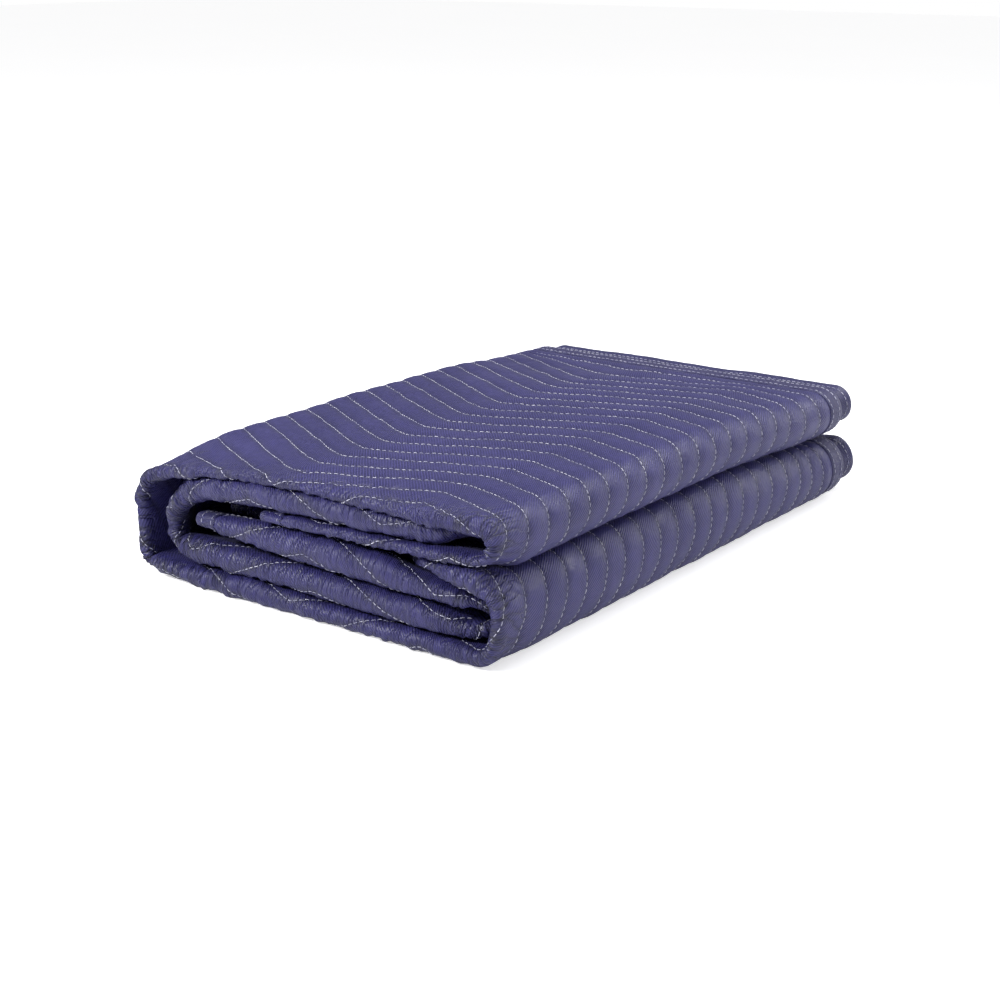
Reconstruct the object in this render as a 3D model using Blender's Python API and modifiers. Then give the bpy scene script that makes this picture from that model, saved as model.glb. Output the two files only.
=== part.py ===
"""Moving blanket, quilted and bound, folded into a flat pack.

The blanket is one quilted pad. It is folded back and forth in four plies across its long side, which
makes a strip, and the strip's two ends are turned in and the strip is doubled. X runs from the spine
(-X) to the two rounded folds (+X), Y from the folded edges (-Y) to the bound edges (+Y), Z is up. The
origin is at the middle of the base. Sizes are in metres.
"""
import math

import bmesh
import bpy
from mathutils import Vector

# Pack, over all
PACK_DEPTH = 0.306
PACK_LENGTH = 0.457
NEAR_Y = -PACK_LENGTH / 2

# Pad and binding
PAD_THICK = 0.0032
PAD_HALF = PAD_THICK / 2
PAD_AT_STITCHES = 0.0015
PAD_INSIDE = 0.0027
PAD_UNDER_BINDING = 0.0008
TURN_FULLNESS = 0.60
TURN_SWELL = 24
TAPE_THICK = 0.0008
TAPE_WIDTH = 0.018
PIECE_GAP = 0.0003

# Strip: the distance from ply to ply in the lower and the upper half of the pack
PITCH_LOWER = 0.0054
PITCH_UPPER = 0.0044
LOWER_FOLD_RADIUS = 0.0116
UPPER_FOLD_RADIUS = 0.0102
FLAP_SPACE = 0.0052
SPINE_SHOULDER_RADIUS = 0.022
SPINE_FOOT_RADIUS = 0.014
TOP_FALL = 0.003
UPPER_FOLD_SET_IN = 0.004
UPPER_FLAP_END_X = -0.038
LOWER_FLAP_END_X = -0.096

# How far each ply reaches from the folded edges: the long edges are bound, plies 2 and 3 turn
OUTER_EDGE_REACH = 0.443
FAR_TURN_REACH = 0.430
INNER_EDGE_REACH = 0.457 - PIECE_GAP - TAPE_THICK
INNER_EDGE_FLARE = 1.1

# The folded edges are fuller than the rest, which lifts the pack there
LIFT = 0.014
LIFT_DECAY = 0.090
LIFT_FROM_X = -0.144
LIFT_TO_X = -0.004
LIFT_FULL_Z = 0.044
EDGE_HOLD = 0.010
EDGE_END = 0.042

# Quilting: parallel zigzag lines along the strip
LINE_SPACING = 0.0216
FIRST_LINE = 0.0405
ZIGZAG_SWING = 0.021
ZIGZAG_HALF = 0.109
ZIGZAG_PEAK_X = 0.086
ZIGZAG_FROM = 0.012
ZIGZAG_FULL = 0.080
ZIGZAG_FADE = 0.360

PLY_OFFSET = {1: 1.5, 2: 0.5, 3: -0.5, 4: -1.5}
PLY_ROLL = {1: "outer", 2: "outer", 3: "inner", 4: "inner"}
PLY_SIDE = {1: 1.0, 2: -1.0, 3: 1.0, 4: -1.0}

# Rolls along the folded edges, in millimetres: where each roll's centre is on the near face, its
# radius to the middle of the pad, and how far it is set back. The outer roll joins plies 1 and 2,
# the inner one plies 3 and 4. A place is a run of the strip and a share of its length.
ROLL_COLUMNS = ("run", "share", "outer_x", "outer_z", "outer_r", "outer_back",
                "inner_x", "inner_z", "inner_r", "inner_back")
ROLLS = (
    ("upper_flap", 0.00, -38, 61.6, 2.5, 1, -38, 68.0, 2.4, 34),
    ("upper_flap", 0.45, 38, 63.4, 2.1, 0, 38, 70.0, 2.2, 34),
    ("upper_flap", 0.80, 96, 65.0, 2.2, 0, 96, 71.0, 2.2, 34),
    ("upper_flap", 1.00, 127, 66.4, 2.4, 1, 124, 68.5, 2.4, 34),
    ("upper_fold", 0.25, 140.6, 70.4, 2.5, 2, 132.5, 70.0, 2.4, 32),
    ("upper_fold", 0.50, 144.8, 78.6, 2.6, 2, 135, 74.0, 2.4, 30),
    ("upper_fold", 0.75, 140.2, 86.2, 3.6, 2, 132.5, 78.0, 2.4, 26),
    ("top", 0.00, 127, 89.4, 4.6, 1, 124, 78.6, 2.4, 22),
    ("top", 0.14, 94, 90.8, 4.8, 0, 94, 76.5, 5.2, 4),
    ("top", 0.40, 28, 91.4, 3.9, 0, 28, 76.7, 6.3, 0),
    ("top", 0.65, -35, 89.8, 3.4, 0, -35, 75.2, 6.8, 0),
    ("top", 0.88, -94, 83.0, 3.2, 0, -94, 68.6, 6.6, 0),
    ("shoulder", 0.50, -140, 67.0, 2.6, 1, -116, 55.0, 4.6, 1),
    ("spine", 0.50, -148.4, 42.0, 2.6, 1, -123, 42.0, 4.4, 2),
    ("foot", 0.50, -144, 11.0, 2.6, 1, -117.5, 29.5, 3.4, 1),
    ("bottom", 0.10, -104, 6.6, 4.7, 0, -101, 25.4, 7.0, 0),
    ("bottom", 0.30, -52, 7.9, 6.0, 0, -52, 25.6, 6.6, 0),
    ("bottom", 0.58, 22, 6.8, 4.9, 0, 22, 24.2, 7.4, 0),
    ("bottom", 0.86, 94, 6.5, 4.6, 0, 94, 23.0, 6.8, 0),
    ("bottom", 1.00, 130, 6.1, 4.2, 0, 126, 20.0, 4.0, 7),
    ("lower_fold", 0.25, 143.6, 13.4, 2.8, 1, 133.2, 22.6, 2.7, 13),
    ("lower_fold", 0.50, 148.6, 31.0, 2.6, 2, 136.6, 30.2, 2.6, 18),
    ("lower_fold", 0.75, 143.0, 46.8, 3.2, 1, 132.6, 37.4, 2.6, 13),
    ("lower_flap", 0.00, 129, 53.6, 5.0, 0, 122, 39.6, 2.8, 4),
    ("lower_flap", 0.16, 94, 56.0, 2.4, 5, 94, 42.0, 5.0, 0),
    ("lower_flap", 0.24, 76, 56.2, 2.2, 18, 76, 43.2, 5.6, 0),
    ("lower_flap", 0.32, 58, 56.4, 2.2, 33, 58, 45.6, 7.6, 0),
    ("lower_flap", 0.42, 36, 56.2, 2.2, 34, 36, 46.4, 8.6, 0),
    ("lower_flap", 0.60, -5, 56.0, 2.2, 34, -5, 46.8, 8.4, 0),
    ("lower_flap", 0.90, -76, 51.0, 2.2, 34, -76, 47.4, 4.6, 1),
    ("lower_flap", 1.00, -96, 50.0, 2.2, 34, -96, 47.8, 4.0, 1),
)


def smooth(low, high, value):
    """Rise from 0 at low to 1 at high with no corner at either end."""
    share = min(max((value - low) / (high - low), 0.0), 1.0)
    return share * share * (3 - 2 * share)


def blend(start, end, share):
    """Value at a share of the way from start to end."""
    return start + (end - start) * share


def hermite(places, values, place):
    """Read a curve that passes through values at places, with no overshoot."""
    last = len(places) - 1
    slopes = [(values[i + 1] - values[i]) / (places[i + 1] - places[i]) for i in range(last)]

    def tangent(i):
        if i == 0 or i == last:
            return slopes[0] if i == 0 else slopes[-1]
        before, after = slopes[i - 1], slopes[i]
        return 0.0 if before * after <= 0 else 2 * before * after / (before + after)

    i = 0
    while i < last - 1 and place > places[i + 1]:
        i += 1
    gap = places[i + 1] - places[i]
    u = min(max((place - places[i]) / gap, 0.0), 1.0)
    rise = (2 * u ** 3 - 3 * u ** 2 + 1) * values[i] + (3 * u ** 2 - 2 * u ** 3) * values[i + 1]
    return rise + gap * ((u ** 3 - 2 * u ** 2 + u) * tangent(i) + (u ** 3 - u ** 2) * tangent(i + 1))


class Strip:
    """The strip's middle line in the X-Z plane, run by run, from the upper flap's end to the lower's."""

    def __init__(self):
        bottom = PAD_HALF + 1.5 * PITCH_LOWER
        lower = bottom + 2 * LOWER_FOLD_RADIUS
        upper = lower + 1.5 * PITCH_LOWER + FLAP_SPACE + 1.5 * PITCH_UPPER
        top = upper + 2 * UPPER_FOLD_RADIUS
        spine_pitch = (PITCH_LOWER + PITCH_UPPER) / 2
        spine_x = -PACK_DEPTH / 2 + PAD_HALF + 1.5 * spine_pitch
        upper_x = PACK_DEPTH / 2 - UPPER_FOLD_SET_IN - PAD_HALF - 1.5 * PITCH_UPPER - UPPER_FOLD_RADIUS
        lower_x = PACK_DEPTH / 2 - PAD_HALF - 1.5 * PITCH_LOWER - LOWER_FOLD_RADIUS
        shoulder_x = spine_x + SPINE_SHOULDER_RADIUS
        foot_x = spine_x + SPINE_FOOT_RADIUS
        top_end = top - TOP_FALL
        self.runs = (
            ("upper_flap", self.line((UPPER_FLAP_END_X, upper), (upper_x, upper))),
            ("upper_fold", self.arc((upper_x, upper + UPPER_FOLD_RADIUS), UPPER_FOLD_RADIUS, -90, 90)),
            ("top", self.line((upper_x, top), (shoulder_x, top_end))),
            ("shoulder", self.arc((shoulder_x, top_end - SPINE_SHOULDER_RADIUS),
                                  SPINE_SHOULDER_RADIUS, 90, 180)),
            ("spine", self.line((spine_x, top_end - SPINE_SHOULDER_RADIUS),
                                (spine_x, bottom + SPINE_FOOT_RADIUS))),
            ("foot", self.arc((foot_x, bottom + SPINE_FOOT_RADIUS), SPINE_FOOT_RADIUS, 180, 270)),
            ("bottom", self.line((foot_x, bottom), (lower_x, bottom))),
            ("lower_fold", self.arc((lower_x, bottom + LOWER_FOLD_RADIUS), LOWER_FOLD_RADIUS, -90, 90)),
            ("lower_flap", self.line((lower_x, lower), (LOWER_FLAP_END_X, lower))),
        )
        self.start = {}
        self.length = {}
        total = 0.0
        for name, (read, length) in self.runs:
            self.start[name] = total
            self.length[name] = length
            total += length
        self.total = total

    @staticmethod
    def line(first, last):
        """A straight run: its reader, and its length."""
        reach = math.dist(first, last)
        along = ((last[0] - first[0]) / reach, (last[1] - first[1]) / reach)

        def read(distance):
            place = (first[0] + along[0] * distance, first[1] + along[1] * distance)
            return place, (along[1], -along[0])

        return read, reach

    @staticmethod
    def arc(centre, radius, first_angle, last_angle):
        """A round turn, counter-clockwise: its reader, and its length."""
        def read(distance):
            angle = math.radians(first_angle) + distance / radius
            out = (math.cos(angle), math.sin(angle))
            return (centre[0] + radius * out[0], centre[1] + radius * out[1]), out

        return read, radius * math.radians(last_angle - first_angle)

    def at(self, run, share):
        """Distance along the strip at a share of a run."""
        return self.start[run] + share * self.length[run]

    def read(self, distance):
        """Middle point, outward direction and ply pitch at a distance along the strip."""
        chosen = self.runs[-1]
        for run in self.runs:
            if distance <= self.start[run[0]] + self.length[run[0]]:
                chosen = run
                break
        point, out = chosen[1][0](distance - self.start[chosen[0]])
        change = smooth(self.at("top", 0.8), self.at("bottom", 0.1), distance)
        return point, out, blend(PITCH_UPPER, PITCH_LOWER, change)


STRIP = Strip()
ROLL_PLACES = [STRIP.at(row[0], row[1]) for row in ROLLS]


def roll_value(column, distance):
    """A column of the roll table at a distance along the strip, in metres."""
    at = ROLL_COLUMNS.index(column)
    return hermite(ROLL_PLACES, [row[at] / 1000 for row in ROLLS], distance)


def roll_centre(roll, distance):
    """Centre of a roll on the near face, and the direction out of the strip there."""
    step = 0.004
    ahead = min(distance + step, STRIP.total)
    behind = max(distance - step, 0.0)
    along_x = roll_value(roll + "_x", ahead) - roll_value(roll + "_x", behind)
    along_z = roll_value(roll + "_z", ahead) - roll_value(roll + "_z", behind)
    reach = math.hypot(along_x, along_z)
    centre = (roll_value(roll + "_x", distance), roll_value(roll + "_z", distance))
    return centre, (along_z / reach, -along_x / reach)


def lifted(x, depth, z):
    """Height after the full folded edges lift what lies on them."""
    share = smooth(LIFT_FROM_X, LIFT_TO_X, x) * math.exp(-depth / LIFT_DECAY)
    height = (z - PAD_HALF) / (LIFT_FULL_Z - PAD_HALF)
    return z + LIFT * share * min(max(height, 0.0), 1.0)


def ply_point(distance, ply, depth):
    """Middle of a ply at a distance along the strip and a depth behind the folded edges."""
    middle, out, pitch = STRIP.read(distance)
    offset = PLY_OFFSET[ply] * pitch
    if ply == 4:
        offset += INNER_EDGE_FLARE * pitch * smooth(INNER_EDGE_REACH - TAPE_WIDTH, INNER_EDGE_REACH, depth)
    x = middle[0] + offset * out[0]
    z = lifted(x, depth, middle[1] + offset * out[1])
    hold = 1 - smooth(EDGE_HOLD, EDGE_END, depth)
    if hold > 0:
        roll = PLY_ROLL[ply]
        centre, roll_out = roll_centre(roll, distance)
        radius = PLY_SIDE[ply] * roll_value(roll + "_r", distance)
        x = blend(x, centre[0] + radius * roll_out[0], hold)
        z = blend(z, centre[1] + radius * roll_out[1], hold)
    if ply == 1:
        z = max(z, PAD_HALF)
    return Vector((x, NEAR_Y + depth, z))


def roll_start(distance, roll):
    """Depth at which a roll's turn ends and its two plies begin, and half the space between them."""
    back = roll_value(roll + "_back", distance) + PAD_HALF
    upper, lower = (1, 2) if roll == "outer" else (3, 4)
    guess = back + roll_value(roll + "_r", distance)
    half = (ply_point(distance, upper, guess) - ply_point(distance, lower, guess)).length / 2
    swell = math.radians(TURN_SWELL)
    return back + half * (1 + math.sin(swell)) / math.cos(swell), half


def near_turn_point(distance, roll, share):
    """Point of the drop-shaped turn that joins two plies at the folded edges, from -1 to 1."""
    upper, lower = (1, 2) if roll == "outer" else (3, 4)
    depth, half = roll_start(distance, roll)
    first = ply_point(distance, lower, depth)
    last = ply_point(distance, upper, depth)
    swell = math.radians(TURN_SWELL)
    swing = share * (math.pi / 2 + swell)
    point = (first + last) / 2 + (last - first) / 2 * math.sin(swing) / math.cos(swell)
    point.y -= half * (math.cos(swing) / math.cos(swell) + math.tan(swell))
    point.z = max(point.z, PAD_HALF)
    return point


def far_turn_point(distance, angle):
    """Point of the turn that joins plies 2 and 3 at the bound edges."""
    half = (ply_point(distance, 2, 0.4) - ply_point(distance, 3, 0.4)).length / 2
    depth = FAR_TURN_REACH - half
    first = ply_point(distance, 3, depth)
    last = ply_point(distance, 2, depth)
    swing = math.radians(angle)
    point = (first + last) / 2 + (last - first) / 2 * math.sin(swing)
    point.y += half * math.cos(swing)
    return point


def outer_ply_lengths(step=0.002):
    """Distances along the strip, each with the length along the outermost ply up to it."""
    count = math.ceil(STRIP.total / step)
    places, lengths = [0.0], [0.0]
    last = ply_point(0.0, 1, PACK_LENGTH / 2)
    for i in range(1, count + 1):
        place = STRIP.total * i / count
        point = ply_point(place, 1, PACK_LENGTH / 2)
        lengths.append(lengths[-1] + (point - last).length)
        places.append(place)
        last = point
    return places, lengths


OUTER_PLACES, OUTER_LENGTHS = outer_ply_lengths()


def read_table(keys, values, key):
    """Straight-line reading of a table whose keys rise."""
    i = 0
    while i < len(keys) - 2 and key > keys[i + 1]:
        i += 1
    return blend(values[i], values[i + 1], (key - keys[i]) / (keys[i + 1] - keys[i]))


PEAK_SHARE = (STRIP.runs[2][1][0](0.0)[0][0] - ZIGZAG_PEAK_X) / STRIP.length["top"]
PEAK_LENGTH = read_table(OUTER_PLACES, OUTER_LENGTHS, STRIP.at("top", PEAK_SHARE))


def zigzag(distance):
    """Sideways swing of the quilting lines, from -1 to 1, at a distance along the strip."""
    turns = (read_table(OUTER_PLACES, OUTER_LENGTHS, distance) - PEAK_LENGTH) / ZIGZAG_HALF
    return 1 - 2 * abs((turns + 1) % 2 - 1)


def columns():
    """Distances along the strip where the pad has a row of points: turns, zigzag peaks, ends."""
    parts = {"upper_fold": 5, "shoulder": 3, "spine": 1, "foot": 3, "lower_fold": 5}
    places = [0.0, TAPE_WIDTH]
    for name in ("upper_flap", "upper_fold", "top", "shoulder", "spine", "foot", "bottom",
                 "lower_fold", "lower_flap"):
        first, length = STRIP.start[name], STRIP.length[name]
        marks = [first]
        if name in parts:
            marks += [first + length * i / parts[name] for i in range(1, parts[name])]
        else:
            marks += peaks_between(first + 0.012, first + length - 0.012)
        if name == "lower_flap":
            marks += [first + share * length for share in (0.16, 0.24, 0.32)]
        if name == "upper_flap":
            marks[0] = TAPE_WIDTH + 0.006
        places += marks
    places += [STRIP.total - TAPE_WIDTH - 0.006, STRIP.total - TAPE_WIDTH, STRIP.total]
    return filled(sorted(set(places)), 0.046)


def peaks_between(first, last):
    """Distances along the strip of the zigzag peaks between two places."""
    found = []
    for k in range(-8, 9):
        length = PEAK_LENGTH + k * ZIGZAG_HALF
        if OUTER_LENGTHS[0] < length < OUTER_LENGTHS[-1]:
            place = read_table(OUTER_LENGTHS, OUTER_PLACES, length)
            if first < place < last:
                found.append(place)
    return found


def filled(places, widest):
    """The same places, with more between those that are further apart than widest."""
    result = []
    for here, after in zip(places, places[1:]):
        count = max(1, math.ceil((after - here) / widest))
        result += [here + (after - here) * i / count for i in range(count)]
    return result + [places[-1]]


def turn_weight(distance, roll):
    """How thick the pad is in a roll's turn, as a share: a tight turn presses it thinner."""
    _, half = roll_start(distance, roll)
    return min(1.0, TURN_FULLNESS * half / PAD_HALF)


def near_rows(ply, shares):
    """Rows of a ply by the folded edges, as shares of the way from its roll to the plain part."""
    return [("near", ply, share, blend(1.0, PAD_INSIDE / PAD_THICK, smooth(0.0, 0.6, share)), True)
            for share in shares]


def pad_rows():
    """Rows across the blanket, from the inner bound edge to the outer one.

    Each is a kind, the ply or roll it is on, where it is, how thick the pad is there, and whether
    it is there all along the strip or only where the quilting shows."""
    pressed = PAD_UNDER_BINDING / PAD_THICK
    stitched = PAD_AT_STITCHES / PAD_THICK
    inside = PAD_INSIDE / PAD_THICK
    turn = (-0.8, -0.4, 0, 0.4, 0.8)
    plain = (0.13, 0.25)
    rows = [("ply", 4, INNER_EDGE_REACH, pressed, True)]
    rows += [("ply", 4, INNER_EDGE_REACH - TAPE_WIDTH, pressed, True)]
    rows += [("ply", 4, place, inside, True) for place in reversed(plain)]
    rows += near_rows(4, (1.0, 0.6, 0.28, 0.0))
    rows += [("turn", "inner", angle, 1.0, True) for angle in turn]
    rows += near_rows(3, (0.0, 0.28, 0.6, 1.0))
    rows += [("ply", 3, place, inside, True) for place in plain]
    rows += [("far", 0, angle, inside, True) for angle in (-90, -30, 30, 90)]
    rows += [("ply", 2, place, inside, True) for place in reversed(plain)]
    rows += near_rows(2, (1.0, 0.6, 0.28, 0.0))
    rows += [("turn", "outer", angle, 1.0, True) for angle in turn]
    rows += [("near", 1, 0.0, 1.0, True), ("near", 1, 0.34, stitched, True), ("near", 1, 0.7, 1.0, True)]
    depth = FIRST_LINE
    last_line = OUTER_EDGE_REACH - TAPE_WIDTH - LINE_SPACING / 2
    count = 0
    while depth < last_line:
        rows.append(("quilt", 1, depth, stitched, False))
        rows.append(("quilt", 1, depth + LINE_SPACING / 2, 1.0, count % 3 == 0))
        depth += LINE_SPACING
        count += 1
    rows.append(("ply", 1, OUTER_EDGE_REACH - TAPE_WIDTH, pressed, True))
    rows.append(("ply", 1, OUTER_EDGE_REACH, pressed, True))
    return rows


def row_point(row, distance):
    """Middle of the pad where a row crosses a distance along the strip."""
    kind, which, place = row[:3]
    if kind == "turn":
        return near_turn_point(distance, which, place)
    if kind == "far":
        return far_turn_point(distance, place)
    if kind == "near":
        start, _ = roll_start(distance, PLY_ROLL[which])
        end = FIRST_LINE + (LINE_SPACING / 2 if hidden(distance) else 0.0)
        return ply_point(distance, which, blend(start, 1.45 * EDGE_END if which > 1 else end, place))
    if kind == "quilt" and not hidden(distance):
        share = smooth(ZIGZAG_FROM, ZIGZAG_FULL, place)
        share *= 1 - smooth(ZIGZAG_FADE, OUTER_EDGE_REACH - TAPE_WIDTH, place)
        place += share * ZIGZAG_SWING * zigzag(distance)
    return ply_point(distance, which, place)


def hidden(distance):
    """True where the outermost ply is turned in between the flaps, or lies on the base."""
    shown = (("upper_fold", "shoulder", 0.7), ("lower_fold", "lower_flap", 0.0))
    margin = 0.0001
    for first, last, share in shown:
        if STRIP.start[first] - margin < distance < STRIP.at(last, share) + margin:
            return False
    return not STRIP.start["shoulder"] < distance < STRIP.at("foot", 0.4)


def lies_on_base(row, distance):
    """True where the outermost ply lies on the base, pressed flat."""
    on_ply_1 = row[0] in ("quilt", "near", "ply") and row[1] == 1
    return on_ply_1 and STRIP.start["foot"] <= distance <= STRIP.at("lower_fold", 0.2)


def material(name, colour, roughness):
    """A plain cloth material."""
    made = bpy.data.materials.new(name)
    made.use_nodes = True
    shader = made.node_tree.nodes["Principled BSDF"]
    shader.inputs["Base Color"].default_value = (*colour, 1.0)
    shader.inputs["Roughness"].default_value = roughness
    shader.inputs["Metallic"].default_value = 0.0
    return made


def cloth_object(name, grid, thick, cloth, collection, weights=None, turned=None):
    """A closed piece of cloth: a grid of points skinned with faces and thickened both ways.

    A line of the grid may leave points out, as None: the faces beside it then span them. The faces
    after the point numbered turned start a corner later, which turns their diagonals."""
    mesh = bpy.data.meshes.new(name)
    maker = bmesh.new()
    points = [[point and maker.verts.new(point) for point in line] for line in grid]
    for line, after in zip(points, points[1:]):
        shared = [i for i in range(len(line)) if line[i] and after[i]]
        for first, last in zip(shared, shared[1:]):
            here = [vert for vert in line[first:last + 1] if vert]
            there = [vert for vert in after[first:last + 1] if vert]
            corners = here + there[::-1]
            maker.faces.new(corners[1:] + corners[:1] if first == turned else corners)
    maker.to_mesh(mesh)
    maker.free()
    made = bpy.data.objects.new(name, mesh)
    collection.objects.link(made)
    made.data.materials.append(cloth)
    skin = made.modifiers.new("thickness", "SOLIDIFY")
    skin.thickness = thick
    skin.offset = 0.0
    if weights:
        group = made.vertex_groups.new(name="fullness")
        flat = [weight for line in weights for weight in line if weight is not None]
        for i, weight in enumerate(flat):
            group.add([i], weight, "REPLACE")
        skin.vertex_group = group.name
    mesh.shade_smooth()
    return made


def quilted_pad(cloth, collection):
    """The pad, from end to end of the strip, in its plies."""
    rows = pad_rows()
    places = columns()
    pressed = PAD_UNDER_BINDING / PAD_THICK
    stitched = PAD_AT_STITCHES / PAD_THICK
    grid, weights = [], []
    for distance in places:
        quilted = not hidden(distance)
        at_end = min(distance, STRIP.total - distance) < TAPE_WIDTH + 0.001
        points, line = [], []
        for row in rows:
            weight = row[3]
            if lies_on_base(row, distance) and weight > pressed:
                weight = 1.0
            if row[0] == "turn":
                weight = turn_weight(distance, row[1])
            if row[0] == "near" and row[2] < 0.5 and weight > stitched:
                weight *= blend(turn_weight(distance, PLY_ROLL[row[1]]), 1.0, 2 * row[2])
            there = quilted or row[4]
            points.append(row_point(row, distance) if there else None)
            line.append((pressed if at_end else weight) if there else None)
        grid.append(points)
        weights.append(line)
    return cloth_object("quilted_pad", grid, PAD_THICK, cloth, collection, weights)


FIRST_LEG = 0
SECOND_LEG = 4


def tape_section():
    """Middle of the folded tape, as distance in from the cloth's edge and height over its middle."""
    leg = PAD_UNDER_BINDING / 2 + PIECE_GAP + TAPE_THICK / 2
    nose = PIECE_GAP + TAPE_THICK / 2
    return ((TAPE_WIDTH, leg), (0.0003, leg), (-nose, leg * 0.5), (-nose, -leg * 0.5),
            (0.0003, -leg), (TAPE_WIDTH, -leg))


def taped(name, inner_line, edge_line, turned, cloth, collection):
    """A binding: tape folded over an edge, from the line at its width in to the line of the edge.

    The leg that starts at the point numbered turned has its diagonals turned to follow the pad's."""
    grid = []
    last = len(edge_line) - 1
    for i in range(len(edge_line)):
        edge, inner = edge_line[i], inner_line[i]
        inward = (inner - edge).normalized()
        before, after = max(i - 1, 0), min(i + 1, last)
        line = []
        for reach, height in tape_section():
            share = min(max(reach / TAPE_WIDTH, 0.0), 1.0)
            along = (edge_line[after] - edge_line[before]).lerp(inner_line[after] - inner_line[before], share)
            up = inward.cross(along).normalized()
            base = edge.lerp(inner, share) + inward * min(reach, 0.0)
            line.append(base + up * height)
        grid.append(line)
    return cloth_object(name, grid, TAPE_THICK, cloth, collection, turned=turned)


def long_binding(name, ply, reach, turned, cloth, collection):
    """The binding of a long edge, all along the strip."""
    places = columns()
    edge = [ply_point(distance, ply, reach) for distance in places]
    inner = [ply_point(distance, ply, reach - TAPE_WIDTH) for distance in places]
    return taped(name, inner, edge, turned, cloth, collection)


def end_rows():
    """Rows across the blanket for the bindings of the ends, between the long edges' bindings."""
    clear = TAPE_WIDTH + PIECE_GAP + 0.0006
    rows = [("ply", 4, INNER_EDGE_REACH - clear)]
    for row in pad_rows()[2:-2]:
        if row[4]:
            rows.append(("ply", 1, row[2]) if row[0] == "quilt" else row)
    rows.append(("ply", 1, OUTER_EDGE_REACH - clear))
    return rows


def end_binding(name, edge_at, inner_at, turned, cloth, collection):
    """The binding of an end of the strip, through all its plies."""
    rows = end_rows()
    edge = [row_point(row, edge_at) for row in rows]
    inner = [row_point(row, inner_at) for row in rows]
    return taped(name, inner, edge, turned, cloth, collection)


def build():
    """Make the blanket's pieces."""
    for old in list(bpy.data.objects):
        bpy.data.objects.remove(old, do_unlink=True)
    collection = bpy.data.collections.new("moving_blanket")
    bpy.context.scene.collection.children.link(collection)
    face = material("quilted cloth", (0.088, 0.085, 0.232), 0.82)
    tape = material("binding cloth", (0.062, 0.058, 0.160), 0.78)
    quilted_pad(face, collection)
    long_binding("binding_outer_edge", 1, OUTER_EDGE_REACH, SECOND_LEG, tape, collection)
    long_binding("binding_inner_edge", 4, INNER_EDGE_REACH, FIRST_LEG, tape, collection)
    end_binding("binding_upper_end", 0.0, TAPE_WIDTH, FIRST_LEG, tape, collection)
    end_binding("binding_lower_end", STRIP.total, STRIP.total - TAPE_WIDTH, SECOND_LEG, tape, collection)


build()
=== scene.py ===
"""Moving blanket, quilted and bound, folded into a flat pack: its cloth, tape and thread."""
import math

import bpy
import numpy as np
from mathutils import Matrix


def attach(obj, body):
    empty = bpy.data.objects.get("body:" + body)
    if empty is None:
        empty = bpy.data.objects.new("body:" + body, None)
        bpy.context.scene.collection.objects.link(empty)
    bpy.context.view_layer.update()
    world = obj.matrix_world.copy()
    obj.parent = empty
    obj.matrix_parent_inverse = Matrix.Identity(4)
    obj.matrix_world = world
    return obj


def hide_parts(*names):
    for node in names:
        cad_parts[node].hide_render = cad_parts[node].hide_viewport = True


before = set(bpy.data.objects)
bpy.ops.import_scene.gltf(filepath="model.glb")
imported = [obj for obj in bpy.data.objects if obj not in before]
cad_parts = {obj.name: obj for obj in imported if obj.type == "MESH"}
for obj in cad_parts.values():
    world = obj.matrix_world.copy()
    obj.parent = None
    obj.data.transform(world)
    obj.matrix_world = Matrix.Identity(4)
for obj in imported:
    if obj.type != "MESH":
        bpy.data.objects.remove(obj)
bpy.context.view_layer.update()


# Camera, light and floor
# The pack is seen from its near corner, a little above, on a plain pale floor in soft studio light.
CAMERA_AZIMUTH = math.radians(36.742)
CAMERA_ELEVATION = math.radians(17.584)
CAMERA_PLACE = (0.7335, -1.0049, 0.4171)

camera_data = bpy.data.cameras.new("camera")
camera_data.lens = 64.8
camera_data.sensor_width = 36.0
camera = bpy.data.objects.new("camera", camera_data)
camera.location = CAMERA_PLACE
camera.rotation_euler = (math.pi / 2 - CAMERA_ELEVATION, 0.0, CAMERA_AZIMUTH)
bpy.context.scene.collection.objects.link(camera)
bpy.context.scene.camera = camera


def add_softbox(name, place, aim, size, power):
    """A square area light at a place, turned to face a point."""
    data = bpy.data.lights.new(name, "AREA")
    data.shape = "SQUARE"
    data.size = size
    data.energy = power
    lamp = bpy.data.objects.new(name, data)
    lamp.location = place
    way = np.array(aim) - np.array(place)
    tilt = math.acos(-way[2] / np.linalg.norm(way))
    lamp.rotation_euler = (tilt, 0.0, math.atan2(way[1], way[0]) - math.pi / 2)
    bpy.context.scene.collection.objects.link(lamp)


add_softbox("softbox_above", (-0.3, 0.3, 2.0), (0.0, 0.0, 0.0), 0.9, 21.0)
add_softbox("softbox_left", (-0.7, -1.7, 1.3), (0.0, 0.0, 0.05), 0.5, 42.0)
add_softbox("softbox_right", (2.0, -0.2, 0.8), (0.0, 0.0, 0.05), 0.9, 15.0)
add_softbox("softbox_behind", (0.9, 1.8, 1.3), (0.0, 0.0, 0.05), 1.0, 22.0)

even_light = bpy.data.lights.new("even_light", "SUN")
even_light.energy = 0.9
even_light.angle = math.radians(60.0)
even_lamp = bpy.data.objects.new("even_light", even_light)
even_lamp.rotation_euler = (math.radians(6.0), math.radians(-10.0), 0.0)
bpy.context.scene.collection.objects.link(even_lamp)

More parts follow.
